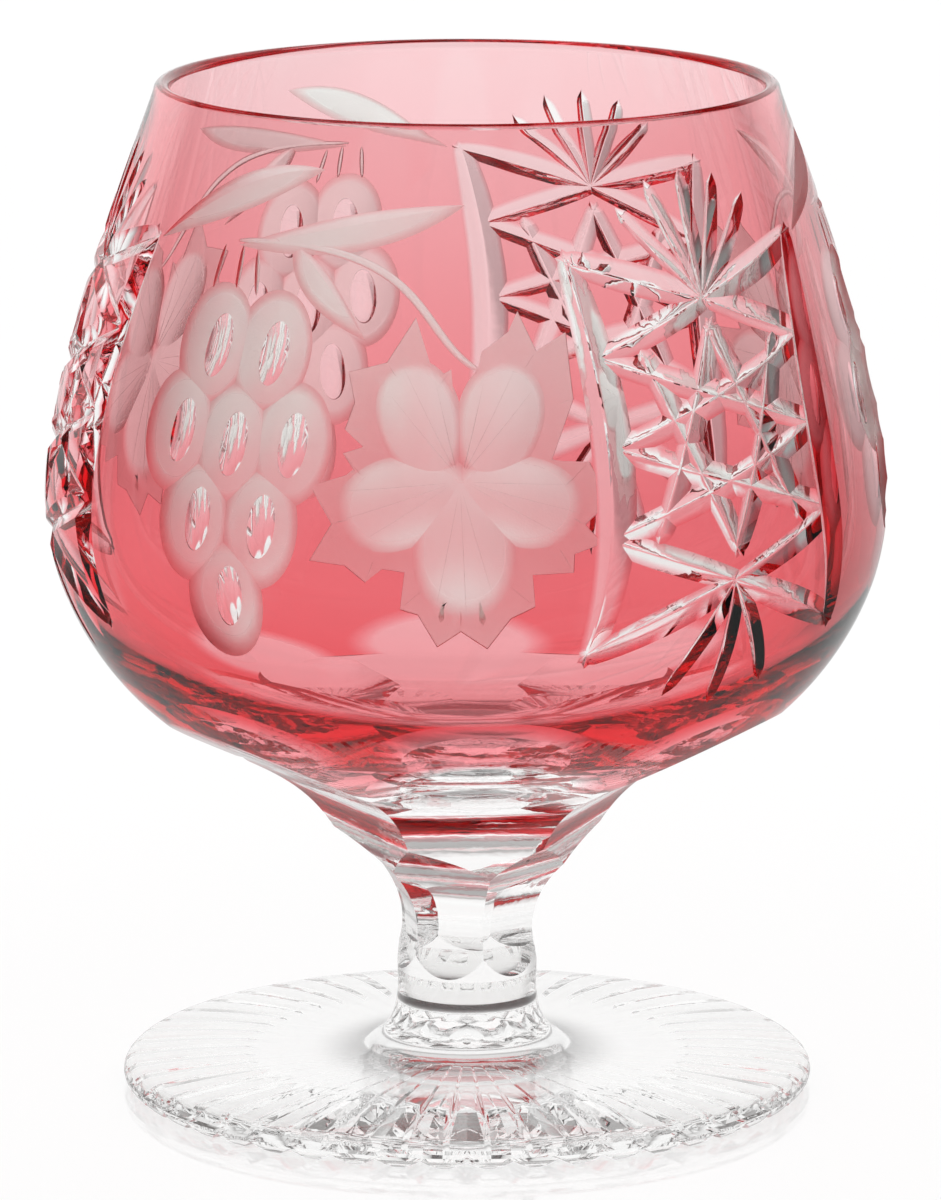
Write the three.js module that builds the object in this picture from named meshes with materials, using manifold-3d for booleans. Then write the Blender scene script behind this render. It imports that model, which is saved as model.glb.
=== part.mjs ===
// A brandy balloon in cut and cased crystal, standing on its foot, +Z up, in millimetres.
// The bowl is clear glass under a thin rose casing. Star panels and engraved grape fields are cut
// through the casing, and every patch of casing that the cuts leave by itself is a piece of its own.
// The origin is the middle of the foot's underside, and the photographed front looks along -Y.
import * as THREE from "three";
import { mergeVertices } from "three/addons/utils/BufferGeometryUtils.js";
import Module from "manifold-3d";

// Overall sizes
const HEIGHT = 118;
const RIM_RADIUS = 35.8;
const BELLY_RADIUS = 48.7;
const BELLY_HEIGHT = 70;
const RIM_WALL = 1.9;
const BELLY_WALL = 3.6;
const CAVITY_FLOOR = 41;

// The bowl's outline: how far each curve runs on straight from its ends before it bends
const RIM_LEAN = 2; // the wall spreads by this much
const RIM_RUN = 6; // over this much height under the rim
const BELLY_RUN_UP = 14.7;
const BELLY_RUN_DOWN = 10.9;
const BLANK_BASE_RADIUS = 27; // the blown bowl before its facets are cut
const BLANK_BASE_HEIGHT = 39.6;
const BLANK_BASE_RUN = 14.2;
const BLANK_BASE_RISE = 5.6;
const BLANK_NECK_RADIUS = 17.5;
const CAVITY_RUN_DOWN = 18.5;
const CAVITY_FLOOR_RUN = 26;

// The casing and its seam to the bowl
const CASING_THICKNESS = 0.3;
const SEAM = 0.1;

// Where the pieces meet
const BOWL_JOINT_HEIGHT = 28;
const FOOT_JOINT_HEIGHT = 11;

// The facets under the bowl. Each hollow follows a curve from its top to its foot by way of two pulls,
// whose points are the distance from the axis and the height.
const BOWL_SIDES = 6;
const BOWL_FACET_TURN = 4.4; // in degrees from the front
const BOWL_FACET_CURVE = {
  top: [39, 47.3],
  upperPull: [19.8, 36.6],
  lowerPull: [16.5, 38.5],
  foot: [11.5, 26.5],
};

// The stem and its sides, which are hollowed the same way
const STEM_SIDES = 6;
const STEM_FACET_TURN = 43.4;
const STEM_RADIUS = 8.1;
const STEM_FACET_CURVE = {
  top: [18, 32],
  upperPull: [5.8, 26.5],
  lowerPull: [5, 18],
  foot: [9, 12.5],
};

// The foot
const FOOT_RADIUS = 40.2;
const FOOT_EDGE = 3.3;
const FOOT_EDGE_ROUND = 2.2;
const FOOT_DOME_PULL = [26, 4.6];
const FOOT_HUB_PULL = [9.5, 5.6];
const FOOT_RAY_COUNT = 48;
const FOOT_RAY_START = 24.5;
const FOOT_RAY_DEPTH = 1.3;
const FOOT_RAY_HALF_ANGLE = 62;

// The pattern is drawn on a bowl that rises and falls this far from its belly, and stretches with it.
// A place in it is degrees round the bowl, and millimetres above the belly.
const DRAWN_RISE = 48;
const DRAWN_FALL = 30.4;

// Star panels, whose places are turned from the panel's middle
const PANELS = 3;
const PANEL_TURN = 38.3;
const MITRE_HALF_ANGLE = 52;
const MITRE_FULLNESS = 0.7; // lower is more even along its length
const MITRE_END_DEPTH = 0.5; // a cut is still through the casing where it ends
const PANEL_TOP = 33.5;
const PANEL_TOP_SPREAD = 22.8;
const PANEL_BOTTOM = -9.7;
const PANEL_BOTTOM_SPREAD = 21.8;
const BORDER_WIDTH = 4.6;
const BORDER_BOW = 4;
const FAN_TOP = 28.5;
const FAN_TOP_LENGTH = 12.6;
const FAN_TOP_ANGLES = [-42, -21, 0, 21, 42];
const FAN_BOTTOM = -2.5;
const FAN_BOTTOM_LENGTH = 13.5;
const FAN_BOTTOM_ANGLES = [-29, 0, 29];
const FAN_WIDTH = 1.9;
const ARM_WIDTH = 3.4;
const SIDE_ARM_WIDTH = 2.8;
const SIDE_ARM_SPREAD = 19.6;
const SIDE_ARM_TOP = 23;
const SIDE_ARM_BOTTOM = 3.6;
const STAR_MIDDLE = 13.3;
const STAR_STEEP_FROM = [0, 11.9]; // four cuts start at the star's top and foot
const STAR_STEEP_TO = [12, -9.6];
const STAR_SHALLOW_FROM = [17.6, 0]; // four start at its sides
const STAR_SHALLOW_TO = [-19, 9.7];
const STAR_WIDTH = 3.2;

// The islands of casing that a panel keeps, each at its place from the star's middle. The slivers
// between them are too small to hold, and are ground away.
const ISLANDS = {
  button: [0, 0],
  tip_top: [0, 8.5],
  tip_bottom: [0, -8.5],
  tip_left: [-12, 0],
  tip_right: [12, 0],
  side_upper_left: [-13.7, 4.8],
  side_upper_right: [13.7, 4.8],
  side_lower_left: [-13.4, -4.8],
  side_lower_right: [13.4, -4.8],
  arch_upper: [0, 11.5],
  arch_lower: [0, -11.5],
  corner_upper_left: [-12.4, 15],
  corner_upper_right: [12.4, 15],
  corner_lower_left: [-11.2, -16.5],
  corner_lower_right: [11.2, -16.5],
};

// Grape fields, between the panels
const FIELD_TURN = -21.7;
const GRAPE_WIDTH = 7.4;
const GRAPE_HEIGHT = 11.2;
const GRAPE_STEP = 7.8; // along the skin
const GRAPE_ROWS = [
  { lift: 23.1, from: -17.3, count: 2 },
  { lift: 13.6, from: -21.6, count: 3 },
  { lift: 5.1, from: -17, count: 2 },
  { lift: -3.9, from: -12.2, count: 1 },
];
const LEAF_MIDDLE = [21.5, 11.3];
const LEAF_LOBES = [
  { angle: -90, size: 0.98 },
  { angle: -18, size: 0.7 },
  { angle: 58, size: 0.8 },
  { angle: 124, size: 0.82 },
  { angle: 200, size: 0.88 },
];
const LEAF_LOBE = { notch: [18, 0], tip: [20, 3], inner: [13.4, 5.2], side: [15.6, 7.8] };
const LEAF_WAIST = 9.5;
const BLADE_WIDTH = 2.4;
const BLADES = [
  { from: [-34.9, 33.5], to: [-2.9, 42.8], bow: 2 },
  { from: [-16.6, 34.1], to: [21.4, 39.6], bow: 2 },
  { from: [-6.4, 34.9], to: [6.9, 25.2], bow: -2 },
];

// How finely round stretches are divided
const ROUND_STEPS = 36;
const CURVE_STEPS = 5;
const RIM_STEPS = 2;
const MITRE_LEAST_STEPS = 2;
const MITRE_STEP_LENGTH = 12;
const GRAPE_SIDES = 8;

// Room that the cutters take beyond the glass
const CUTTER_REACH = 30;
const LEAF_CUTTER_DEPTH = 15;
const MITRE_LIFT = 0.8;

// Corners closer than this are one corner
const WELD = 1e-3;

// A share of a curve that is small enough to find a point on it, or its direction there
const NEAR_SHARE = 1e-6;

const wasm = await Module();
wasm.setup();

const CLEAR = new THREE.MeshStandardMaterial({ color: 0xf2efec, roughness: 0.02, metalness: 0 });
const ROSE = new THREE.MeshStandardMaterial({ color: 0xf07f8c, roughness: 0.03, metalness: 0 });

const radians = THREE.MathUtils.degToRad;
const point = (x, y) => new THREE.Vector2(x, y);

// Turns a closed geometry into a solid that can be cut and joined.
function solidOf(geometry) {
  const bare = geometry.index ? geometry.toNonIndexed() : geometry.clone();
  bare.deleteAttribute("normal");
  bare.deleteAttribute("uv");
  const merged = mergeVertices(bare, WELD);
  const corners = merged.index.array;
  const whole = [];
  for (let i = 0; i < corners.length; i += 3) {
    const [a, b, c] = corners.slice(i, i + 3);
    if (a !== b && b !== c && a !== c) whole.push(a, b, c);
  }
  return new wasm.Manifold(
    new wasm.Mesh({
      numProp: 3,
      vertProperties: merged.attributes.position.array,
      triVerts: new Uint32Array(whole),
    }),
  );
}

// Turns a solid back into a geometry.
function geometryOf(solid) {
  const { vertProperties, triVerts } = solid.getMesh();
  const geometry = new THREE.BufferGeometry();
  geometry.setAttribute("position", new THREE.BufferAttribute(vertProperties, 3));
  return geometry.setIndex(new THREE.BufferAttribute(triVerts, 1));
}

// Makes a solid's named mesh.
function meshOf(name, solid, material) {
  const geometry = geometryOf(solid);
  geometry.computeVertexNormals();
  const mesh = new THREE.Mesh(geometry, material.clone());
  mesh.name = name;
  return mesh;
}

// Spins a closed outline, whose points are (radius, height), about the glass's axis.
function spin(outline) {
  const turned = (points) => {
    const lathe = new THREE.LatheGeometry(points, ROUND_STEPS);
    return solidOf(lathe.rotateX(Math.PI / 2));
  };
  const solid = turned(outline);
  return solid.volume() > 0 ? solid : turned(outline.slice().reverse());
}

// The bowl's blown outline from the rim down, as two curves that meet at the belly.
const upperCurve = new THREE.CubicBezierCurve(
  point(RIM_RADIUS, HEIGHT - RIM_WALL / 2),
  point(RIM_RADIUS + RIM_LEAN, HEIGHT - RIM_WALL / 2 - RIM_RUN),
  point(BELLY_RADIUS, BELLY_HEIGHT + BELLY_RUN_UP),
  point(BELLY_RADIUS, BELLY_HEIGHT),
);
const lowerCurve = new THREE.CubicBezierCurve(
  point(BELLY_RADIUS, BELLY_HEIGHT),
  point(BELLY_RADIUS, BELLY_HEIGHT - BELLY_RUN_DOWN),
  point(BLANK_BASE_RADIUS + BLANK_BASE_RUN, BLANK_BASE_HEIGHT + BLANK_BASE_RISE),
  point(BLANK_BASE_RADIUS, BLANK_BASE_HEIGHT),
);

// The outline moved inwards by a depth, from the rim to the blank's base.
function outlineAt(depth) {
  const inwards = (curve, t) => {
    const along = curve.getTangent(t);
    return curve.getPoint(t).add(point(along.y, -along.x).multiplyScalar(depth));
  };
  const steps = [...Array(CURVE_STEPS + 1).keys()].map((i) => i / CURVE_STEPS);
  const upper = steps.map((t) => inwards(upperCurve, t));
  const lower = steps.slice(1).map((t) => inwards(lowerCurve, t));
  return [...upper, ...lower];
}

// The height of a place in the pattern.
function heightOf(lift) {
  const rise = (HEIGHT - BELLY_HEIGHT) / DRAWN_RISE;
  const fall = (BELLY_HEIGHT - BLANK_BASE_HEIGHT) / DRAWN_FALL;
  return BELLY_HEIGHT + lift * (lift > 0 ? rise : fall);
}

// The outer radius and its outward normal at a height, read between the outline's points.
function wallAt(height) {
  const outline = outlineAt(0);
  const below = Math.max(outline.findIndex((place) => place.y <= height), 1);
  const [upper, lower] = [outline[below - 1], outline[below]];
  const share = (upper.y - height) / (upper.y - lower.y);
  const along = lower.clone().sub(upper).normalize();
  return { radius: upper.clone().lerp(lower, share).x, out: point(-along.y, along.x) };
}

// A point of the bowl's skin, with its outward normal. The round of the bowl is divided into flats,
// and a point between their corners lies a little nearer the axis.
function skin(turn, lift) {
  const height = heightOf(lift);
  const { radius, out } = wallAt(height);
  const flat = 360 / ROUND_STEPS;
  const aside = THREE.MathUtils.euclideanModulo(turn, flat) - flat / 2;
  const flatRadius = (radius * Math.cos(radians(flat / 2))) / Math.cos(radians(aside));
  const angle = radians(turn);
  const across = new THREE.Vector3(Math.sin(angle), -Math.cos(angle), 0);
  const place = across.clone().multiplyScalar(flatRadius).setZ(height);
  const normal = across.clone().multiplyScalar(out.x).setZ(out.y);
  return { place, normal };
}

// How many degrees round a length along the skin takes at a lift.
const degreesFor = (length, lift) => THREE.MathUtils.radToDeg(length / wallAt(heightOf(lift)).radius);

// How far a cut has swelled at a share of its length: nothing at the ends, and one in the middle.
const swell = (s) => Math.max(Math.sin(Math.PI * s), 0) ** MITRE_FULLNESS;

// A mitre cut along the skin: a V that is deepest in the middle and runs out at both ends.
// A bow is how many degrees its middle lies aside of the straight way.
function mitre({ from, to, width, bow = 0 }) {
  const slope = Math.tan(radians(MITRE_HALF_ANGLE));
  const at = (s) => {
    const sideways = bow * 4 * s * (1 - s);
    const turn = THREE.MathUtils.lerp(from[0], to[0], s) + sideways;
    return skin(turn, THREE.MathUtils.lerp(from[1], to[1], s));
  };
  const length = skin(...from).place.distanceTo(skin(...to).place);
  const steps = Math.max(MITRE_LEAST_STEPS, Math.round(length / MITRE_STEP_LENGTH));
  const corners = [];
  for (let i = 0; i <= steps; i++) {
    const s = i / steps;
    const { place, normal } = at(s);
    const ahead = at(s + NEAR_SHARE).place.sub(at(s - NEAR_SHARE).place);
    const side = new THREE.Vector3().crossVectors(normal, ahead).normalize();
    const depth = THREE.MathUtils.lerp(MITRE_END_DEPTH, width / 2 / slope, swell(s));
    const half = (depth + MITRE_LIFT) * slope;
    const top = place.clone().addScaledVector(normal, MITRE_LIFT);
    corners.push(
      place.clone().addScaledVector(normal, -depth),
      top.clone().addScaledVector(side, half),
      top.clone().addScaledVector(side, -half),
    );
  }
  return tentOf(corners);
}

// Joins a row of triangles, given corner by corner, into one closed solid.
function tentOf(corners) {
  const last = corners.length - 3;
  const faces = [0, 2, 1, last, last + 1, last + 2];
  for (let i = 0; i < last; i += 3)
    for (let side = 0; side < 3; side++) {
      const next = (side + 1) % 3;
      faces.push(i + side, i + next, i + 3 + next, i + side, i + 3 + next, i + 3 + side);
    }
  const geometry = new THREE.BufferGeometry().setFromPoints(corners);
  geometry.setIndex(faces);
  const solid = solidOf(geometry);
  if (solid.volume() > 0) return solid;
  geometry.setIndex(faces.reverse());
  return solidOf(geometry);
}

// The cuts of the star panel whose middle is at a turn.
function panelCuts(turn) {
  const cut = (from, to, width, bow = 0) =>
    mitre({ from: [turn + from[0], from[1]], to: [turn + to[0], to[1]], width, bow });
  const fan = (start, length, angles, up) =>
    angles.map((angle) => {
      const rise = up * length * Math.cos(radians(angle));
      const end = start + rise;
      return cut([0, start], [degreesFor(length * Math.sin(radians(angle)), end), end], FAN_WIDTH);
    });
  const starCut = (from, to, across, up) => {
    const place = ([x, y]) => [across * x, STAR_MIDDLE + up * y];
    return cut(place(from), place(to), STAR_WIDTH);
  };
  const star = [1, -1].flatMap((across) =>
    [1, -1].flatMap((up) => [
      starCut(STAR_STEEP_FROM, STAR_STEEP_TO, across, up),
      starCut(STAR_SHALLOW_FROM, STAR_SHALLOW_TO, across, up),
    ]),
  );
  const sides = [-1, 1].flatMap((side) => {
    const topCorner = [side * PANEL_TOP_SPREAD, PANEL_TOP];
    const bottomCorner = [side * PANEL_BOTTOM_SPREAD, PANEL_BOTTOM];
    return [
      cut(topCorner, bottomCorner, BORDER_WIDTH, -side * BORDER_BOW),
      cut([0, FAN_TOP], topCorner, ARM_WIDTH),
      cut([0, FAN_TOP], [side * SIDE_ARM_SPREAD, SIDE_ARM_TOP], SIDE_ARM_WIDTH),
      cut([0, FAN_BOTTOM], bottomCorner, ARM_WIDTH),
      cut([0, FAN_BOTTOM], [side * SIDE_ARM_SPREAD, SIDE_ARM_BOTTOM], SIDE_ARM_WIDTH),
    ];
  });
  return [
    ...star,
    ...sides,
    ...fan(FAN_TOP, FAN_TOP_LENGTH, FAN_TOP_ANGLES, 1),
    ...fan(FAN_BOTTOM, FAN_BOTTOM_LENGTH, FAN_BOTTOM_ANGLES, -1),
  ];
}

// Turns a solid that points along +Z into one that stands out of the skin at a place.
function standAt(geometry, turn, lift) {
  const { place, normal } = skin(turn, lift);
  const frame = new THREE.Matrix4();
  const up = new THREE.Vector3(0, 0, 1);
  const right = new THREE.Vector3().crossVectors(up, normal).normalize();
  frame.makeBasis(right, new THREE.Vector3().crossVectors(normal, right), normal).setPosition(place);
  return solidOf(geometry.applyMatrix4(frame));
}

// One engraved grape: an oval window through the casing.
function grape(turn, lift) {
  const oval = new THREE.CylinderGeometry(1, 1, 2 * MITRE_LIFT, GRAPE_SIDES).rotateX(Math.PI / 2);
  oval.rotateZ(Math.PI / GRAPE_SIDES).scale(GRAPE_WIDTH / 2, GRAPE_HEIGHT / 2, 1);
  return standAt(oval, turn, lift);
}

// The vine leaf's toothed outline, lobe by lobe.
function leafOutline() {
  const outline = new THREE.Shape();
  const corners = LEAF_LOBES.flatMap(({ angle, size }, index) => {
    const placed = ([along, aside]) =>
      point(along, aside).multiplyScalar(size).rotateAround(point(0, 0), radians(angle));
    const mirrored = ([along, aside]) => placed([along, -aside]);
    const { notch, tip, inner, side } = LEAF_LOBE;
    const next = LEAF_LOBES[(index + 1) % LEAF_LOBES.length];
    const step = THREE.MathUtils.euclideanModulo(next.angle - angle, 360);
    const waist = point(LEAF_WAIST, 0).rotateAround(point(0, 0), radians(angle + step / 2));
    const lowerHalf = [side, inner, tip].map(mirrored);
    const upperHalf = [notch, tip, inner, side].map(placed);
    return [...lowerHalf, ...upperHalf, waist];
  });
  outline.setFromPoints(corners);
  return outline;
}

// The leaf's cutter: its outline pushed straight through the casing.
function leaf(turn, lift) {
  const depth = 2 * LEAF_CUTTER_DEPTH;
  const block = new THREE.ExtrudeGeometry(leafOutline(), { depth, bevelEnabled: false });
  return standAt(block.translate(0, 0, -LEAF_CUTTER_DEPTH), turn, lift);
}

// The engraved cuts of one grape field.
function fieldCuts(turn) {
  const grapes = GRAPE_ROWS.flatMap(({ lift, from, count }) =>
    [...Array(count).keys()].map((index) => {
      const along = degreesFor(index * GRAPE_STEP, lift);
      return grape(turn + from + along, lift);
    }),
  );
  const blades = BLADES.map(({ from, to, bow }) =>
    mitre({ from: [turn + from[0], from[1]], to: [turn + to[0], to[1]], width: BLADE_WIDTH, bow }),
  );
  return [...grapes, ...blades, leaf(turn + LEAF_MIDDLE[0], LEAF_MIDDLE[1])];
}

// What is ground off round the axis to leave flat or hollow sides along a curve of apothems.
function sideGrinder(sides, turn, { top, upperPull, lowerPull, foot }) {
  const ends = [top, upperPull, lowerPull, foot].map((pair) => point(...pair));
  const curve = new THREE.CubicBezierCurve(...ends);
  const away = CUTTER_REACH + top[0];
  const section = new THREE.Shape([
    ...curve.getPoints(CURVE_STEPS),
    point(away, foot[1]),
    point(away, top[1]),
  ]);
  return [...Array(sides).keys()].map((index) => {
    const grinder = new THREE.ExtrudeGeometry(section, { depth: 2 * away, bevelEnabled: false });
    grinder.translate(0, 0, -away);
    grinder.rotateX(Math.PI / 2);
    grinder.rotateZ(radians(turn + (index * 360) / sides - 90));
    return solidOf(grinder);
  });
}

// The rose casing before it is cut: a shell of even thickness from the rim to the blank's base.
function casingBlank() {
  const outer = outlineAt(0);
  const inner = outlineAt(CASING_THICKNESS);
  return spin([...outer, ...inner.reverse(), outer[0].clone()]);
}

// The clear bowl before it is cut, with its cavity and its rounded rim.
function bowlBlank() {
  const outer = outlineAt(CASING_THICKNESS + SEAM);
  const rimOut = outer[0];
  const rimIn = point(RIM_RADIUS - RIM_WALL, rimOut.y);
  const middle = rimOut.clone().lerp(rimIn, 0.5);
  const rimHalf = rimOut.x - middle.x;
  const rim = new THREE.EllipseCurve(middle.x, middle.y, rimHalf, HEIGHT - middle.y, Math.PI, 0, true);
  const inUpper = new THREE.CubicBezierCurve(
    point(BELLY_RADIUS - BELLY_WALL, BELLY_HEIGHT),
    point(BELLY_RADIUS - BELLY_WALL, BELLY_HEIGHT + BELLY_RUN_UP),
    point(rimIn.x + RIM_LEAN, rimIn.y - RIM_RUN),
    rimIn,
  );
  const inLower = new THREE.CubicBezierCurve(
    point(0, CAVITY_FLOOR),
    point(CAVITY_FLOOR_RUN, CAVITY_FLOOR),
    point(BELLY_RADIUS - BELLY_WALL, BELLY_HEIGHT - CAVITY_RUN_DOWN),
    point(BELLY_RADIUS - BELLY_WALL, BELLY_HEIGHT),
  );
  return spin([
    ...inLower.getPoints(CURVE_STEPS),
    ...inUpper.getPoints(CURVE_STEPS).slice(1),
    ...rim.getPoints(RIM_STEPS).slice(1),
    ...outer.slice(1),
    point(BLANK_NECK_RADIUS, BOWL_JOINT_HEIGHT),
    point(0, BOWL_JOINT_HEIGHT),
  ]);
}

// The stem before its sides are ground: a round bar that spreads into the bowl.
function stemBlank() {
  const spread = new THREE.QuadraticBezierCurve(
    point(STEM_RADIUS, FOOT_JOINT_HEIGHT),
    point(STEM_RADIUS, (FOOT_JOINT_HEIGHT + BOWL_JOINT_HEIGHT) / 2),
    point(BLANK_NECK_RADIUS, BOWL_JOINT_HEIGHT),
  );
  const middle = [point(0, BOWL_JOINT_HEIGHT), point(0, FOOT_JOINT_HEIGHT)];
  return spin([...spread.getPoints(CURVE_STEPS), ...middle, spread.getPoint(0)]);
}

// The foot, with its rays cut in the underside from the plain middle out to the edge.
function foot() {
  const dome = new THREE.CubicBezierCurve(
    point(FOOT_RADIUS - FOOT_EDGE_ROUND, FOOT_EDGE),
    point(...FOOT_DOME_PULL),
    point(...FOOT_HUB_PULL),
    point(STEM_RADIUS, FOOT_JOINT_HEIGHT),
  );
  const edgeMiddle = FOOT_RADIUS - FOOT_EDGE_ROUND;
  const half = FOOT_EDGE / 2;
  const quarter = Math.PI / 2;
  const edge = new THREE.EllipseCurve(edgeMiddle, half, FOOT_EDGE_ROUND, half, -quarter, quarter, false);
  const blank = spin([
    point(0, 0),
    ...edge.getPoints(RIM_STEPS),
    ...dome.getPoints(CURVE_STEPS).slice(1),
    point(0, FOOT_JOINT_HEIGHT),
  ]);
  const rays = [...Array(FOOT_RAY_COUNT).keys()].map((index) => footRay((index * 360) / FOOT_RAY_COUNT));
  return less(blank, rays);
}

// One ray's cutter: a V under the foot that deepens steadily outwards.
function footRay(turn) {
  const slope = Math.tan(radians(FOOT_RAY_HALF_ANGLE));
  const axis = new THREE.Vector3(0, 0, 1);
  const corners = [FOOT_RAY_START, FOOT_RADIUS + FOOT_EDGE].flatMap((radius) => {
    const depth = (FOOT_RAY_DEPTH * (radius - FOOT_RAY_START)) / (FOOT_RADIUS - FOOT_RAY_START);
    const half = (depth + MITRE_LIFT) * slope;
    return [
      new THREE.Vector3(radius, 0, depth),
      new THREE.Vector3(radius, half, -MITRE_LIFT),
      new THREE.Vector3(radius, -half, -MITRE_LIFT),
    ];
  });
  return tentOf(corners.map((corner) => corner.applyAxisAngle(axis, radians(turn))));
}

// A solid less each of its cutters.
const less = (solid, cutters) => cutters.reduce((rest, cutter) => rest.subtract(cutter), solid);

// The turn of copy number index of a field that repeats round the bowl.
const repeated = (turn, index) => turn + (index * 360) / PANELS;

// Where the middle of a solid's box lies: its panel, and its place from the middle of that star.
function placeOf(solid) {
  const { min, max } = solid.boundingBox();
  const [x, y, z] = min.map((low, axis) => (low + max[axis]) / 2);
  const turn = THREE.MathUtils.radToDeg(Math.atan2(x, -y));
  const nearest = Math.round(((turn - PANEL_TURN) * PANELS) / 360);
  const panel = THREE.MathUtils.euclideanModulo(nearest, PANELS);
  const aside = THREE.MathUtils.euclideanModulo(turn - repeated(PANEL_TURN, panel) + 180, 360) - 180;
  const stretch = heightOf(STAR_MIDDLE) - heightOf(STAR_MIDDLE - 1);
  return { panel, place: point(aside, (z - heightOf(STAR_MIDDLE)) / stretch) };
}

// Names the casing's pieces: the shell itself, and in each panel the islands that it keeps.
// Welding first parts what only hangs together by a hair.
function namedPieces(casing) {
  const [shell, ...loose] = solidOf(geometryOf(casing))
    .decompose()
    .sort((a, b) => b.volume() - a.volume());
  const named = new Map([["casing", shell]]);
  for (const piece of loose) {
    const { panel, place } = placeOf(piece);
    const away = ([, middle]) => place.distanceTo(point(...middle));
    const [[island]] = Object.entries(ISLANDS).sort((a, b) => away(a) - away(b));
    const name = `panel_${panel + 1}_${island}`;
    if (!named.has(name)) named.set(name, piece);
  }
  return named;
}

function build() {
  const glass = new THREE.Group();
  const panels = [...Array(PANELS).keys()];
  const grinders = [
    ...sideGrinder(BOWL_SIDES, BOWL_FACET_TURN, BOWL_FACET_CURVE),
    ...sideGrinder(STEM_SIDES, STEM_FACET_TURN, STEM_FACET_CURVE),
  ];
  const stars = panels.map((index) => panelCuts(repeated(PANEL_TURN, index)));
  const fields = panels.map((index) => fieldCuts(repeated(FIELD_TURN, index)));
  glass.add(meshOf("bowl", less(bowlBlank(), [...grinders, ...stars.flat()]), CLEAR));
  glass.add(meshOf("stem", less(stemBlank(), grinders), CLEAR));
  glass.add(meshOf("foot", foot(), CLEAR));
  const casing = less(casingBlank(), [...grinders, ...stars.flat(), ...fields.flat()]);
  for (const [name, piece] of namedPieces(casing)) glass.add(meshOf(name, piece, ROSE));
  return glass;
}

export default build();
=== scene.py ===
"""Dresses a brandy balloon of cut and cased crystal, and stands it on a pale studio floor.

The glass is modelled in millimetres and written to Blender in metres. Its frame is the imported
model's: the origin is under the middle of the foot, and the photographed front looks along -Y.
"""

import logging
import math
from collections.abc import Callable, Sequence
from dataclasses import dataclass, field, replace
from enum import Enum, IntEnum

import bpy
import numpy as np
from mathutils import Euler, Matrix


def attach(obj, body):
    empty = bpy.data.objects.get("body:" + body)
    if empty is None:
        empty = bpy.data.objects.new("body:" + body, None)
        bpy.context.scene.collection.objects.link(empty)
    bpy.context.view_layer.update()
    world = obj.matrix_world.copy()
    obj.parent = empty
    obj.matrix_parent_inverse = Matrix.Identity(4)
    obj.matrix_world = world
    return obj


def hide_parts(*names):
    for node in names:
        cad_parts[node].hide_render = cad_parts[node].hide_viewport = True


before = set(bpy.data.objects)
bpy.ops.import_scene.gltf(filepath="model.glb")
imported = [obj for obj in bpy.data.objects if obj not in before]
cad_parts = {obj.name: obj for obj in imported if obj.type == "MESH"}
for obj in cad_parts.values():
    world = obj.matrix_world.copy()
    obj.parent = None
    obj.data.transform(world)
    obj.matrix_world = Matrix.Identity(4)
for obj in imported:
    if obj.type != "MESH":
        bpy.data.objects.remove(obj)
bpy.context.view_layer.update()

log = logging.getLogger("brandy_glass")

MM = 0.001
ZONE = "zone"
BODY = "root"

NUMBER = "NodeSocketFloat"
COLOUR = "NodeSocketColor"

# The rings at which the bowl, the stem and the foot are joined, in millimetres.
NECK_RADIUS = 17.5
STEM_TOP = 28.0
STEM_FOOT = 11.0
STEM_RADIUS = 8.1
ON_AXIS = 1e-6

Place = tuple[float, float]
Colour = tuple[float, float, float]
Rows = np.ndarray
Feed = bpy.types.NodeSocket | float | Colour

WHITE: Colour = (1.0, 1.0, 1.0)


class Zone(IntEnum):
    """The kinds of surface that the glass has."""

    BLOWN = 0
    INSIDE = 1
    CUT = 2
    MATT = 3
    JOINED = 4


class Slot(Enum):
    """The record's material slots."""

    CRYSTAL = "clear_crystal"
    ROSE = "rose_casing"


def cubic(corners: Sequence[Place], count: int) -> Rows:
    """Samples a cubic curve.

    Args:
        corners: Its start, two pulls and end, as (radius, height).
        count: How many stretches it is divided into.

    Returns:
        One (radius, height) row for each sample, both ends among them.
    """
    a, b, c, d = (np.array(corner, dtype=float) for corner in corners)
    t = np.linspace(0.0, 1.0, count + 1)[:, None]
    return (1 - t) ** 3 * a + 3 * (1 - t) ** 2 * t * b + 3 * (1 - t) * t**2 * c + t**3 * d


def outward(rows: Rows) -> Rows:
    """Gives the outward normals of an outline that runs downwards.

    Args:
        rows: The outline's (radius, height) rows.

    Returns:
        The (radial, upward) normal at each row.
    """
    along = np.gradient(rows, axis=0)
    normal = np.stack([-along[:, 1], along[:, 0]], axis=1)
    return normal / np.linalg.norm(normal, axis=1, keepdims=True)


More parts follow.
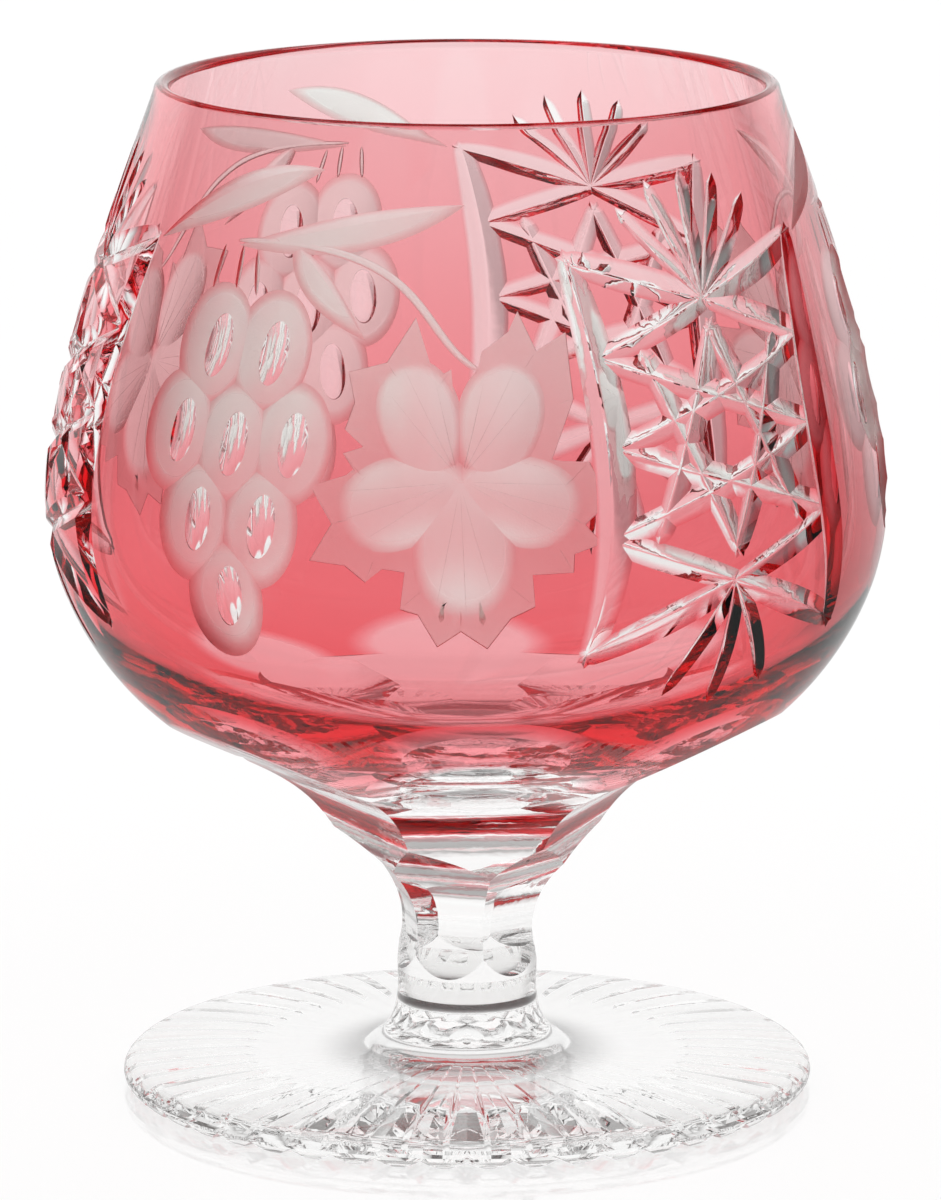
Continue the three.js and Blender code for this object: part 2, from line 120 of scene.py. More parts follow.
@dataclass(frozen=True)
class BowlOutline:
    """The bowl's blown outline, from the rim down to the base of the blank."""

    height: float = 118.0
    rim_radius: float = 35.8
    rim_wall: float = 1.9
    rim_lean: float = 2.0
    rim_run: float = 6.0
    belly_radius: float = 48.7
    belly_height: float = 70.0
    belly_run_up: float = 14.7
    belly_run_down: float = 10.9
    base_radius: float = 27.0
    base_height: float = 39.6
    base_run: float = 14.2
    base_rise: float = 5.6
    casing_heights: tuple[float, ...] = (38.0, 50.0, 58.0, 70.0, 93.0, 118.0)
    casing_thicknesses: tuple[float, ...] = (0.72, 0.66, 0.56, 0.47, 0.32, 0.22)
    steps: int = 60

    @property
    def rim_middle(self) -> float:
        """The height of the middle of the rim's rounding."""
        return self.height - self.rim_wall / 2

    def rows(self) -> Rows:
        """Gives the outer outline.

        Returns:
            Its (radius, height) rows, from the rim's rounding down to the blank's base.
        """
        upper = [
            (self.rim_radius, self.rim_middle),
            (self.rim_radius + self.rim_lean, self.rim_middle - self.rim_run),
            (self.belly_radius, self.belly_height + self.belly_run_up),
            (self.belly_radius, self.belly_height),
        ]
        lower = [
            (self.belly_radius, self.belly_height),
            (self.belly_radius, self.belly_height - self.belly_run_down),
            (self.base_radius + self.base_run, self.base_height + self.base_rise),
            (self.base_radius, self.base_height),
        ]
        return np.vstack([cubic(upper, self.steps), cubic(lower, self.steps)[1:]])

    def inside(self, seam: float = 0.0) -> Rows:
        """Gives the outline moved inwards by the casing's thickness and a seam."""
        rows = self.rows()
        return rows - outward(rows) * (self.casing(rows[:, 1:]) + seam)

    def casing(self, heights: Rows) -> Rows:
        """Gives the casing's thickness at some heights: it is thickest where the blank was gathered."""
        return np.interp(heights, self.casing_heights, self.casing_thicknesses)

    def wall(self, heights: Rows) -> tuple[Rows, Rows]:
        """Reads the wall at some heights.

        Args:
            heights: Heights in millimetres.

        Returns:
            The outer radius at each height, and the outward normal as (radial, upward) rows.
        """
        rows = self.rows()[::-1]
        normals = outward(self.rows())[::-1]
        radius = np.interp(heights, rows[:, 1], rows[:, 0])
        out = np.stack([np.interp(heights, rows[:, 1], normals[:, i]) for i in (0, 1)], axis=-1)
        return radius, out

    def skin(self, turns: Rows, lifts: Rows) -> tuple[Rows, Rows]:
        """Finds points of the skin.

        Args:
            turns: Degrees round from the front, towards +X.
            lifts: Millimetres above the belly.

        Returns:
            The points and their outward normals, as rows of x, y and z.
        """
        radius, out = self.wall(self.belly_height + lifts)
        angle = np.radians(turns)
        across = np.stack([np.sin(angle), -np.cos(angle), np.zeros_like(angle)], axis=-1)
        upwards = np.array([0.0, 0.0, 1.0])
        place = across * radius[..., None] + upwards * (self.belly_height + lifts)[..., None]
        return place, across * out[..., :1] + upwards * out[..., 1:]

    def moved(self, start: Place, aside: Rows, along: Rows) -> tuple[Rows, Rows]:
        """Steps from a place on the skin by lengths across and up it.

        Args:
            start: Degrees round and millimetres above the belly.
            aside: Lengths towards +X seen from outside, in millimetres.
            along: Lengths up the wall.

        Returns:
            The turns and lifts that the steps reach.
        """
        _, out = self.wall(np.array(self.belly_height + start[1]))
        lifts = start[1] + along * out[0]
        radius, _ = self.wall(self.belly_height + lifts)
        return start[0] + np.degrees(aside / radius), lifts


@dataclass
class Draft:
    """A mesh in the making: corners in millimetres, faces, and each face's zone."""

    corners: list[Rows] = field(default_factory=list)
    faces: list[tuple[int, ...]] = field(default_factory=list)
    zones: list[int] = field(default_factory=list)
    count: int = 0

    def add(self, corners: Rows) -> int:
        """Adds corners.

        Args:
            corners: Rows of x, y and z.

        Returns:
            The number of the first of them.
        """
        first = self.count
        self.corners.append(np.atleast_2d(corners))
        self.count += len(self.corners[-1])
        return first

    def face(self, corners: Sequence[int], zone: Zone) -> None:
        """Adds a face with its zone."""
        self.faces.append(tuple(corners))
        self.zones.append(int(zone))

    def bridge(self, a: int, b: int, length: int, zone: Zone) -> None:
        """Joins two closed rings of corners by a band of faces.

        Args:
            a: The first corner of one ring.
            b: The first corner of the other.
            length: How many corners a ring has.
            zone: The band's zone.
        """
        for i in range(length):
            j = (i + 1) % length
            self.face((a + i, a + j, b + j, b + i), zone)

    def fan(self, ring: int, tip: int, length: int, zone: Zone, flipped: bool = False) -> None:
        """Closes a ring of corners with triangles to a tip.

        Args:
            ring: The ring's first corner.
            tip: The corner at the tip.
            length: How many corners the ring has.
            zone: The triangles' zone.
            flipped: Whether they face the other way.
        """
        for i in range(length):
            corners = (ring + i, ring + (i + 1) % length, tip)
            self.face(corners[::-1] if flipped else corners, zone)

    def tube(self, rings: Sequence[int], length: int, zone: Zone) -> None:
        """Joins a row of rings of corners by bands of faces, and closes both ends.

        Args:
            rings: The first corner of each ring.
            length: How many corners a ring has.
            zone: The zone of all the faces.
        """
        for a, b in zip(rings, rings[1:], strict=False):
            self.bridge(a, b, length, zone)
        self.face(range(rings[0], rings[0] + length)[::-1], zone)
        self.face(range(rings[-1], rings[-1] + length), zone)

    def build(self, name: str) -> bpy.types.Object:
        """Makes the object, with its faces turned outwards.

        Args:
            name: The object's name.

        Returns:
            The object, in the scene and in metres.
        """
        mesh = bpy.data.meshes.new(name)
        mesh.from_pydata((np.vstack(self.corners) * MM).tolist(), [], self.faces)
        zones = mesh.attributes.new(ZONE, "INT", "FACE")
        zones.data.foreach_set("value", np.array(self.zones, dtype=np.int32))
        if volume_of(mesh) < 0:
            mesh.flip_normals()
        made = bpy.data.objects.new(name, mesh)
        bpy.context.scene.collection.objects.link(made)
        return made


def read(data: bpy.types.bpy_prop_collection, name: str, width: int, kind: type) -> Rows:
    """Reads one value of every corner or face of a mesh.

    Args:
        data: The mesh's corners or faces.
        name: The value's name.
        width: How many numbers it has.
        kind: Their type.

    Returns:
        The values, in rows where they have more than one number.
    """
    values = np.empty(len(data) * width, dtype=kind)
    data.foreach_get(name, values)
    return values.reshape(-1, width) if width > 1 else values


def volume_of(mesh: bpy.types.Mesh) -> float:
    """Measures what a mesh encloses.

    Args:
        mesh: The closed mesh.

    Returns:
        The volume, which is negative where the faces are turned inwards.
    """
    mesh.calc_loop_triangles()
    corners = read(mesh.loop_triangles, "vertices", 3, np.int32)
    a, b, c = read(mesh.vertices, "co", 3, float)[corners].transpose(1, 0, 2)
    return float(np.einsum("ij,ij->", a, np.cross(b, c)) / 6)


def spin(name: str, rows: Rows, zones: Sequence[Zone], steps: int) -> bpy.types.Object:
    """Spins an outline about the glass's axis.

    Args:
        name: The object's name.
        rows: The outline's (radius, height) rows. It starts and ends on the axis, or closes.
        zones: The zone of each stretch between rows, the closing one among them.
        steps: How many stretches the round is divided into.

    Returns:
        The closed object.
    """
    draft = Draft()
    angle = np.arange(steps) * 2 * math.pi / steps
    rings = []
    for radius, height in rows:
        if radius < ON_AXIS:
            rings.append(draft.add(np.array([[0.0, 0.0, height]])))
            continue
        ring = [np.sin(angle) * radius, -np.cos(angle) * radius, np.full(steps, height)]
        rings.append(draft.add(np.stack(ring, axis=1)))
    on_axis = [radius < ON_AXIS for radius, _ in rows]
    for i, zone in enumerate(zones):
        j = (i + 1) % len(rows)
        if on_axis[i] and on_axis[j]:
            continue
        if on_axis[i]:
            draft.fan(rings[j], rings[i], steps, zone, flipped=True)
        elif on_axis[j]:
            draft.fan(rings[i], rings[j], steps, zone)
        else:
            draft.bridge(rings[i], rings[j], steps, zone)
    return draft.build(name)


@dataclass(frozen=True)
class Wheel:
    """The section that a wheel grinds: shares of half its width against shares of its depth."""

    section: tuple[Place, ...]
    zone: Zone


MITRE_WHEEL = Wheel(
    section=((-1.0, 0.0), (-0.14, 0.86), (-0.05, 0.92), (0.05, 0.92), (0.14, 0.86), (1.0, 0.0)),
    zone=Zone.CUT,
)
HAIR_WHEEL = Wheel(section=((-1.0, 0.0), (0.0, 1.0), (1.0, 0.0)), zone=Zone.MATT)
ROUND_WHEEL = Wheel(
    section=tuple((-math.cos(a), math.sin(a)) for a in np.linspace(0, math.pi, 11)), zone=Zone.MATT
)
BLADE_WHEEL = Wheel(
    section=((-1.0, 0.0), (-0.8, 0.5), (-0.5, 1.0), (0.0, 0.86), (0.5, 0.52), (1.0, 0.0)),
    zone=Zone.MATT,
)


@dataclass(frozen=True)
class Stroke:
    """One pass of a wheel along the bowl, through places in degrees and lifts.

    It is as deep and wide as given in its middle, and end_share of that at its ends. It runs out
    of the skin over run_out more, and follows the floor of another cut where under gives one.
    """

    path: tuple[Place, ...]
    width: float
    depth: float
    wheel: Wheel = MITRE_WHEEL
    bow: float = 0.0
    end_share: float = 0.0
    fullness: float = 0.7
    run_out: float = 0.0
    run_out_rise: float = 0.05
    least_half: float = 0.02
    step: float = 0.6
    least_steps: int = 6
    lift: float = 0.8
    matt_flare: float = 0.1
    under: Callable[[Rows, Rows], Rows] | None = None

    def route(self, shares: Rows) -> tuple[Rows, Rows]:
        """Follows the path, which is straight through two places and a smooth curve through more.

        Args:
            shares: Shares of its length.

        Returns:
            The turns and lifts there.
        """
        path = np.array(self.path, dtype=float)
        if len(path) == 2:
            turns, lifts = (path[0, i] + (path[1, i] - path[0, i]) * shares for i in (0, 1))
        else:
            knots = np.linspace(0.0, 1.0, len(path))
            weights = np.polynomial.polynomial.polyfit(knots, path, min(3, len(path) - 1))
            turns, lifts = np.polynomial.polynomial.polyval(shares, weights)
        return turns + self.bow * 4 * shares * (1 - shares), lifts

    def cutter(self, outline: BowlOutline, name: str) -> bpy.types.Object:
        """Makes the closed solid that the stroke takes out of the glass.

        Args:
            outline: The bowl's outline.
            name: The cutter's name.

        Returns:
            The cutter.
        """
        ends, _ = outline.skin(*self.route(np.array([0.0, 1.0])))
        length = float(np.linalg.norm(ends[1] - ends[0]))
        spare = self.run_out / length
        count = max(self.least_steps, round(length * (1 + 2 * spare) / self.step))
        shares = np.linspace(-spare, 1 + spare, count + 1)
        turns, lifts = self.route(shares)
        place, normal = outline.skin(turns, lifts)
        side = np.cross(np.gradient(place, axis=0), normal)
        side /= np.linalg.norm(side, axis=1, keepdims=True)
        swell = np.sin(math.pi * np.clip(shares, 0, 1)) ** self.fullness
        share = self.end_share + (1 - self.end_share) * swell
        if spare > 0:
            beyond = np.maximum(np.maximum(-shares, shares - 1) / spare, 0)
            share = share - beyond * (self.end_share + self.run_out_rise)
        depth = self.depth * share
        half = np.maximum(self.width / 2 * share, self.least_half)
        if self.under is not None:
            depth = depth + self.under(turns, lifts)
        slope = self.width / 2 / self.depth
        flare = self.lift * slope if self.wheel.zone is Zone.CUT else self.matt_flare
        section = np.array(self.wheel.section)
        draft = Draft()
        rings = []
        for p, n, s, d, h in zip(place, normal, side, depth, half, strict=True):
            ring = p + s * (section[:, :1] * h) - n * (section[:, 1:] * d)
            left = ring[0] + n * self.lift - s * flare
            right = ring[-1] + n * self.lift + s * flare
            rings.append(draft.add(np.vstack([left[None], ring, right[None]])))
        draft.tube(rings, len(section) + 2, self.wheel.zone)
        return draft.build(name)


@dataclass(frozen=True)
class Hollow:
    """A hollow ground into the skin within an outline that is drawn round its middle.

    One with no depth at its rim runs out of the skin: feather is a share of its outline past the
    rim, and the share of its depth that it stands above the skin there.
    """

    middle: Place
    radii: Rows
    angles: Rows
    depth: float
    rim_depth: float = 0.0
    zone: Zone = Zone.MATT
    rings: int = 14
    lift: float = 0.8
    feather: Place = (1.12, 0.25)
    wall_lean: float = 0.01

    def cutter(self, outline: BowlOutline, name: str) -> bpy.types.Object:
        """Makes the closed solid that the hollow takes out of the glass.

        Args:
            outline: The bowl's outline.
            name: The cutter's name.

        Returns:
            The cutter.
        """
        draft = Draft()
        size = len(self.angles)
        shares = [i / self.rings for i in range(1, self.rings + 1)]
        deep = [self.rim_depth + (self.depth - self.rim_depth) * (1 - s * s) for s in shares]
        if self.rim_depth == 0.0:
            shares.append(self.feather[0])
            deep.append(-self.feather[1] * self.depth)
        layers = [*zip(shares, deep, strict=True), (shares[-1] + self.wall_lean, -self.lift)]
        rings = [draft.add(self.layer(outline, s, d)) for s, d in layers]
        floor = draft.add(self.layer(outline, 0.0, self.depth)[:1])
        roof = draft.add(self.layer(outline, 0.0, -self.lift)[:1])
        draft.fan(rings[0], floor, size, self.zone)
        for a, b in zip(rings, rings[1:], strict=False):
            draft.bridge(b, a, size, self.zone)
        draft.fan(rings[-1], roof, size, self.zone, flipped=True)
        return draft.build(name)

    def layer(self, outline: BowlOutline, share: float, depth: float) -> Rows:
        """Gives one ring of the hollow.

        Args:
            outline: The bowl's outline.
            share: The ring's share of the hollow's outline.
            depth: Its depth under the skin.

        Returns:
            Its corners.
        """
        aside = self.radii * share * np.cos(self.angles)
        along = self.radii * share * np.sin(self.angles)
        place, normal = outline.skin(*outline.moved(self.middle, aside, along))
        return place - normal * depth


def oval(
    middle: Place, width: float, height: float, depth: float, zone: Zone,
    tilt: float = 0.0, taper: float = 0.0, steps: int = 48,
) -> Hollow:
    """Draws an oval hollow.

    Args:
        middle: Its place on the skin.
        width: Its width in millimetres.
        height: Its length.
        depth: Its depth in the middle.
        zone: Its surface.
        tilt: How far its long axis leans, in radians from upright towards the left.
        taper: How much wider its far end is than its near end.
        steps: How many stretches its outline has.

    Returns:
        The hollow.
    """
    around = np.linspace(0, 2 * math.pi, steps, endpoint=False)
    u = width / 2 * np.cos(around) * (1 + taper * np.sin(around))
    v = height / 2 * np.sin(around)
    angles = np.arctan2(v, u) + tilt
    return Hollow(middle=middle, radii=np.hypot(u, v), angles=angles, depth=depth, zone=zone)


@dataclass(frozen=True)
class StarPanel:
    """The mitre cuts of one star panel. Places are from the panel's middle and the belly."""

    turn: float
    half_angle: float = 62.0
    fan_half_angle: float = 52.0
    end_depth: float = 0.62
    top: Place = (22.8, 33.5)
    bottom: Place = (21.8, -9.7)
    border_width: float = 5.2
    border_bow: float = 4.0
    fan_top: float = 28.5
    fan_top_length: float = 12.6
    fan_top_angles: tuple[float, ...] = (-42, -21, 0, 21, 42)
    fan_bottom: float = -2.5
    fan_bottom_length: float = 13.5
    fan_bottom_angles: tuple[float, ...] = (-29, 0, 29)
    fan_width: float = 2.1
    arm_width: float = 3.8
    side_arm_width: float = 3.2
    side_arm_spread: float = 19.6
    side_arm_top: float = 23.0
    side_arm_bottom: float = 3.6
    star_middle: float = 13.3
    star_steep: tuple[Place, Place] = ((0, 11.9), (12, -9.6))
    star_shallow: tuple[Place, Place] = ((17.6, 0), (-19, 9.7))
    star_width: float = 3.3
    tip: float = 1.4

    def cut(
        self, start: Place, end: Place, width: float, bow: float = 0.0, half_angle: float | None = None
    ) -> Stroke:
        """Lays one mitre between two places of the panel.

        Args:
            start: Where it starts.
            end: Where it ends.
            width: Its width in the middle.
            bow: How many degrees its middle lies aside of the straight way.
            half_angle: Half the angle of its V, if it isn't the panel's.

        Returns:
            The cut.
        """
        path = tuple((self.turn + turn, lift) for turn, lift in (start, end))
        depth = width / 2 / math.tan(math.radians(half_angle or self.half_angle))
        share = self.end_depth / depth
        return Stroke(path=path, width=width, depth=depth, bow=bow, end_share=share, run_out=self.tip)

    def fan(
        self, outline: BowlOutline, start: float, length: float, angles: Sequence[float], up: int
    ) -> list[Stroke]:
        """Lays the rays that spread from one place.

        Args:
            outline: The bowl's outline.
            start: The lift that they spread from.
            length: A ray's length.
            angles: Each ray's lean, in degrees.
            up: 1 for rays that point up, and -1 for rays that point down.

        Returns:
            The rays.
        """
        rays = []
        for angle in angles:
            lift = start + up * length * math.cos(math.radians(angle))
            radius, _ = outline.wall(np.array(outline.belly_height + lift))
            turn = math.degrees(length * math.sin(math.radians(angle)) / float(radius))
            rays.append(self.cut((0, start), (turn, lift), self.fan_width, half_angle=self.fan_half_angle))
        return rays

    def star(self) -> list[Stroke]:
        """Lays the cuts that cross round the button.

        Returns:
            The eight cuts.
        """
        cuts = []
        for across in (1, -1):
            for up in (1, -1):
                for ends in (self.star_steep, self.star_shallow):
                    start, end = ((across * x, self.star_middle + up * y) for x, y in ends)
                    cuts.append(self.cut(start, end, self.star_width))
        return cuts

    def strokes(self, outline: BowlOutline) -> list[Stroke]:
        """Lays all the panel's cuts.

        Args:
            outline: The bowl's outline.

        Returns:
            The cuts.
        """
        cuts = self.star()
        for side in (-1, 1):
            top = (side * self.top[0], self.top[1])
            bottom = (side * self.bottom[0], self.bottom[1])
            cuts.append(self.cut(top, bottom, self.border_width, -side * self.border_bow))
            fans = ((self.fan_top, top, self.side_arm_top), (self.fan_bottom, bottom, self.side_arm_bottom))
            for start, corner, side_end in fans:
                side_corner = (side * self.side_arm_spread, side_end)
                cuts.append(self.cut((0, start), corner, self.arm_width))
                cuts.append(self.cut((0, start), side_corner, self.side_arm_width))
        cuts += self.fan(outline, self.fan_top, self.fan_top_length, self.fan_top_angles, 1)
        cuts += self.fan(outline, self.fan_bottom, self.fan_bottom_length, self.fan_bottom_angles, -1)
        return cuts


@dataclass(frozen=True)
class Lobe:
    """One lobe of the vine leaf, in places from the hub: aside and along, in millimetres.

    Its deep hollow runs from a start to an end. Its toothed edge runs on round the leaf, from the
    right over the top to the left, and each crease runs inwards from a tooth.
    """

    start: Place
    end: Place
    half_width: float
    edge: tuple[Place, ...]
    creases: tuple[tuple[Place, Place], ...]

    @property
    def length(self) -> float:
        """The length of the hollow."""
        return math.dist(self.start, self.end)

    @property
    def angle(self) -> float:
        """The direction of the hollow, in radians."""
        return math.atan2(self.end[1] - self.start[1], self.end[0] - self.start[0])

    @property
    def middle(self) -> Place:
        """The middle of the hollow."""
        return (self.start[0] + self.end[0]) / 2, (self.start[1] + self.end[1]) / 2


@dataclass(frozen=True)
class VineLeaf:
    """The engraved vine leaf: a shallow toothed ground with a deeper hollow in each lobe."""

    middle: Place
    lobes: tuple[Lobe, ...] = (
        Lobe(
            start=(0.2, 0.8), end=(0.7, -15.1), half_width=5.2,
            edge=((-6.1, -10.3), (-6.6, -14.6), (-4.6, -15.2), (-2.5, -19.0), (0.1, -17.1), (3.0, -19.2),
                  (5.6, -15.6), (8.3, -14.3), (8.0, -10.6)),
            creases=(((-6.6, -14.6), (-4.2, -12.4)), ((8.3, -14.3), (5.4, -11.8)),
                     ((0.1, -17.1), (0.1, -14.6))),
        ),
        Lobe(
            start=(-0.8, -0.7), end=(13.2, -3.8), half_width=4.4,
            edge=((12.6, -10.5), (12.7, -8.4), (15.9, -7.4), (13.9, -5.2), (16.3, -3.1), (15.6, -0.6),
                  (14.3, 1.7), (11.4, 1.9)),
            creases=(((12.6, -10.5), (10.8, -7.4)), ((13.9, -5.2), (12.6, -4.4)),
                     ((14.3, 1.7), (11.4, -1.1))),
        ),
        Lobe(
            start=(2.6, -0.5), end=(6.1, 12.3), half_width=4.0,
            edge=((10.1, 2.1), (12.5, 8.6), (12.1, 11.6), (11.6, 15.8), (8.3, 13.9), (6.2, 18.2),
                  (5.2, 16.0), (2.3, 13.9), (1.6, 10.7), (0.15, 1.2)),
            creases=(((8.3, 13.9), (7.0, 12.0)), ((12.5, 8.6), (10.4, 8.0))),
        ),
        Lobe(
            start=(-2.6, -0.5), end=(-6.3, 12.2), half_width=3.9,
            edge=((-0.08, 1.2), (-1.0, 12.0), (-2.8, 11.0), (-4.9, 17.5), (-8.1, 12.6), (-12.4, 11.4),
                  (-11.7, 8.2), (-12.8, 5.2), (-10.7, 3.4)),
            creases=(((-8.1, 12.6), (-7.0, 11.0)), ((-12.8, 5.2), (-10.2, 5.4)),
                     ((-1.0, 12.0), (-2.9, 9.6))),
        ),
        Lobe(
            start=(0.8, -0.2), end=(-13.2, -4.7), half_width=4.5,
            edge=((-13.0, 2.6), (-11.6, 0.6), (-16.8, -1.2), (-14.3, -5.2), (-16.9, -9.5), (-12.8, -9.8),
                  (-10.5, -11.6), (-8.6, -10.0)),
            creases=(((-13.0, 2.6), (-10.8, 0.1)), ((-14.3, -5.2), (-12.4, -4.6)),
                     ((-10.5, -11.6), (-9.5, -8.9))),
        ),
    )
    ground_depth: float = 0.16
    ground_middle: float = 0.6
    lobe_depth: float = 1.0
    margin: float = 0.9
    taper: float = 0.16
    vein_width: float = 0.26
    vein_depth: float = 0.12
    vein_fullness: float = 0.4
    vein_end_share: float = 0.1
    vein_spread: float = 13.0
    vein_start: float = 1.2
    vein_start_spread: float = 0.6
    vein_reaches: tuple[float, float, float] = (0.92, 1.0, 0.88)
    edge_steps: int = 5

    @staticmethod
    def turned(place: Place, angle: float) -> Place:
        """Turns a place round the hub by degrees."""
        cos, sin = math.cos(math.radians(angle)), math.sin(math.radians(angle))
        return place[0] * cos - place[1] * sin, place[0] * sin + place[1] * cos

    def ground(self) -> Hollow:
        """Makes the shallow ground inside the teeth.

        Returns:
            Its hollow.
        """
        corners = np.array([place for lobe in self.lobes for place in lobe.edge])
        following = np.roll(corners, -1, axis=0)
        shares = np.arange(self.edge_steps) / self.edge_steps
        edge = corners[:, None] + (following - corners)[:, None] * shares[None, :, None]
        aside, along = edge.reshape(-1, 2).T
        return Hollow(
            middle=self.middle, radii=np.hypot(aside, along), angles=np.arctan2(along, aside),
            depth=self.ground_depth * self.ground_middle, rim_depth=self.ground_depth,
        )

    def hollows(self, outline: BowlOutline) -> list[Hollow]:
        """Makes the hollow of each lobe.

        Args:
            outline: The bowl's outline.

        Returns:
            The hollows.
        """
        made = []
        for lobe in self.lobes:
            turns, lifts = outline.moved(self.middle, np.array(lobe.middle[0]), np.array(lobe.middle[1]))
            width, length = 2 * (lobe.half_width + self.margin), lobe.length + 2 * self.margin
            made.append(oval((float(turns), float(lifts)), width, length, self.lobe_depth, Zone.MATT,
                             lobe.angle - math.pi / 2, self.taper))
        return made

    def depth_at(self, outline: BowlOutline) -> Callable[[Rows, Rows], Rows]:
        """Finds how deep the leaf is at any place.

        Args:
            outline: The bowl's outline.

        Returns:
            A function from turns and lifts to the depths there.
        """

        def depth(turns: Rows, lifts: Rows) -> Rows:
            """Gives the depth of the deepest lobe at each place.

            Args:
                turns: The places' degrees round.
                lifts: Their lifts.

            Returns:
                The depths.
            """
            radius, out = outline.wall(outline.belly_height + lifts)
            aside = np.radians(turns - self.middle[0]) * radius
            along = (lifts - self.middle[1]) / out[:, 0]
            deepest = np.full_like(aside, self.ground_depth * self.ground_middle)
            for lobe in self.lobes:
                cos, sin = math.cos(lobe.angle), math.sin(lobe.angle)
                x, y = aside - lobe.middle[0], along - lobe.middle[1]
                v = (x * cos + y * sin) / (lobe.length / 2 + self.margin)
                sideways = y * cos - x * sin
                u = sideways / ((lobe.half_width + self.margin) * (1 + self.taper * v))
                deepest = np.maximum(deepest, self.lobe_depth * (1 - u * u - v * v))
            return deepest

        return depth

    def hairlines(self, outline: BowlOutline) -> list[Stroke]:
        """Makes the fine veins of each lobe, and the creases behind the teeth.

        Args:
            outline: The bowl's outline.

        Returns:
            The lines.
        """
        under = self.depth_at(outline)

        def line(start: Place, end: Place) -> Stroke:
            """Draws one line on the floor of the leaf.

            Args:
                start: Where it starts, from the hub.
                end: Where it ends.

            Returns:
                The line.
            """
            ends = np.array([start, end])
            turns, lifts = outline.moved(self.middle, ends[:, 0], ends[:, 1])
            return Stroke(
                path=tuple(zip(turns.tolist(), lifts.tolist(), strict=True)), width=self.vein_width,
                depth=self.vein_depth, wheel=HAIR_WHEEL, fullness=self.vein_fullness,
                end_share=self.vein_end_share, under=under,
            )

        made = []
        for lobe in self.lobes:
            reach, way = math.hypot(*lobe.end), math.degrees(math.atan2(lobe.end[1], lobe.end[0]))
            for side, share in zip((-1, 0, 1), self.vein_reaches, strict=True):
                spread = side * self.vein_spread
                start = self.turned((self.vein_start, 0.0), way + spread * self.vein_start_spread)
                made.append(line(start, self.turned((reach * share, 0.0), way + spread)))
            made += [line(outer, within) for outer, within in lobe.creases]
        return made


@dataclass(frozen=True)
class GrapeField:
    """One engraved field: a bunch of grapes, its stalks and blades, and a vine leaf."""

    turn: float
    grape_width: float = 10.0
    grape_height: float = 14.0
    grape_depth: float = 1.0
    grape_lean: float = -4.0
    polish_width: float = 3.5
    polish_height: float = 7.3
    polish_rim: float = 0.86
    polish_depth: float = 1.5
    polish_lean: float = -7.0
    grape_places: tuple[Place, ...] = (
        (-17.6, 23.4), (-7.6, 23.2), (-21.6, 13.8), (-12.3, 13.1), (-2.9, 13.6), (-17.1, 4.4), (-6.8, 4.4),
        (-11.9, -4.0),
    )
    leaf_middle: Place = (20.8, 10.6)
    blades: tuple[tuple[tuple[Place, ...], float], ...] = (
        (((-34.9, 33.5), (-18.0, 39.6), (-2.9, 42.8)), 4.3),
        (((-16.6, 34.1), (4.0, 36.4), (21.4, 39.6)), 4.2),
        (((-6.4, 34.9), (-1.5, 30.6), (6.9, 25.2)), 3.6),
    )
    blade_depth: float = 0.55
    blade_fullness: float = 0.9
    stalk: tuple[Place, ...] = ((-16.8, 34.6), (6.6, 33.1), (16.3, 27.6), (23.3, 22.3))
    stalk_width: float = 0.95
    stalk_depth: float = 0.4
    stalk_fullness: float = 0.25
    stalk_end_share: float = 0.3
    stems: tuple[tuple[Place, Place], ...] = (
        ((-19.3, 34.0), (-20.0, 29.2)), ((-15.7, 34.2), (-15.5, 29.4)), ((-12.8, 33.8), (-11.6, 29.0)),
    )
    stem_width: float = 0.6
    stem_depth: float = 0.4
    stem_fullness: float = 0.4

    def grapes(self) -> list[Hollow]:
        """Makes each grape's matt hollow and the polished eye in its middle.

        Returns:
            The hollows, each eye after its grape.
        """
        made = []
        for turn, lift in self.grape_places:
            middle = (self.turn + turn, lift)
            grape = oval(middle, self.grape_width, self.grape_height, self.grape_depth, Zone.MATT,
                         math.radians(self.grape_lean))
            eye = oval(middle, self.polish_width, self.polish_height, self.polish_depth, Zone.CUT,
                       math.radians(self.polish_lean))
            made += [grape, replace(eye, rim_depth=self.polish_rim)]
        return made

    def placed(self, path: Sequence[Place]) -> tuple[Place, ...]:
        """Turns a path from the field's middle to where the field is."""
        return tuple((self.turn + turn, lift) for turn, lift in path)

    def cuts(self, outline: BowlOutline) -> list[Stroke | Hollow]:
        """Makes all the field's cuts.

        Args:
            outline: The bowl's outline.

        Returns:
            The cuts.
        """
        leaf = VineLeaf(middle=self.placed([self.leaf_middle])[0])
        blades = [
            Stroke(path=self.placed(path), width=width, depth=self.blade_depth, wheel=BLADE_WHEEL,
                   fullness=self.blade_fullness)
            for path, width in self.blades
        ]
        stalk = Stroke(path=self.placed(self.stalk), width=self.stalk_width, depth=self.stalk_depth,
                       wheel=ROUND_WHEEL, fullness=self.stalk_fullness, end_share=self.stalk_end_share)
        stems = [
            Stroke(path=self.placed(path), width=self.stem_width, depth=self.stem_depth,
                   wheel=ROUND_WHEEL, fullness=self.stem_fullness)
            for path in self.stems
        ]
        engraved = [leaf.ground(), *leaf.hollows(outline), *leaf.hairlines(outline)]
        return [*self.grapes(), *engraved, *blades, stalk, *stems]


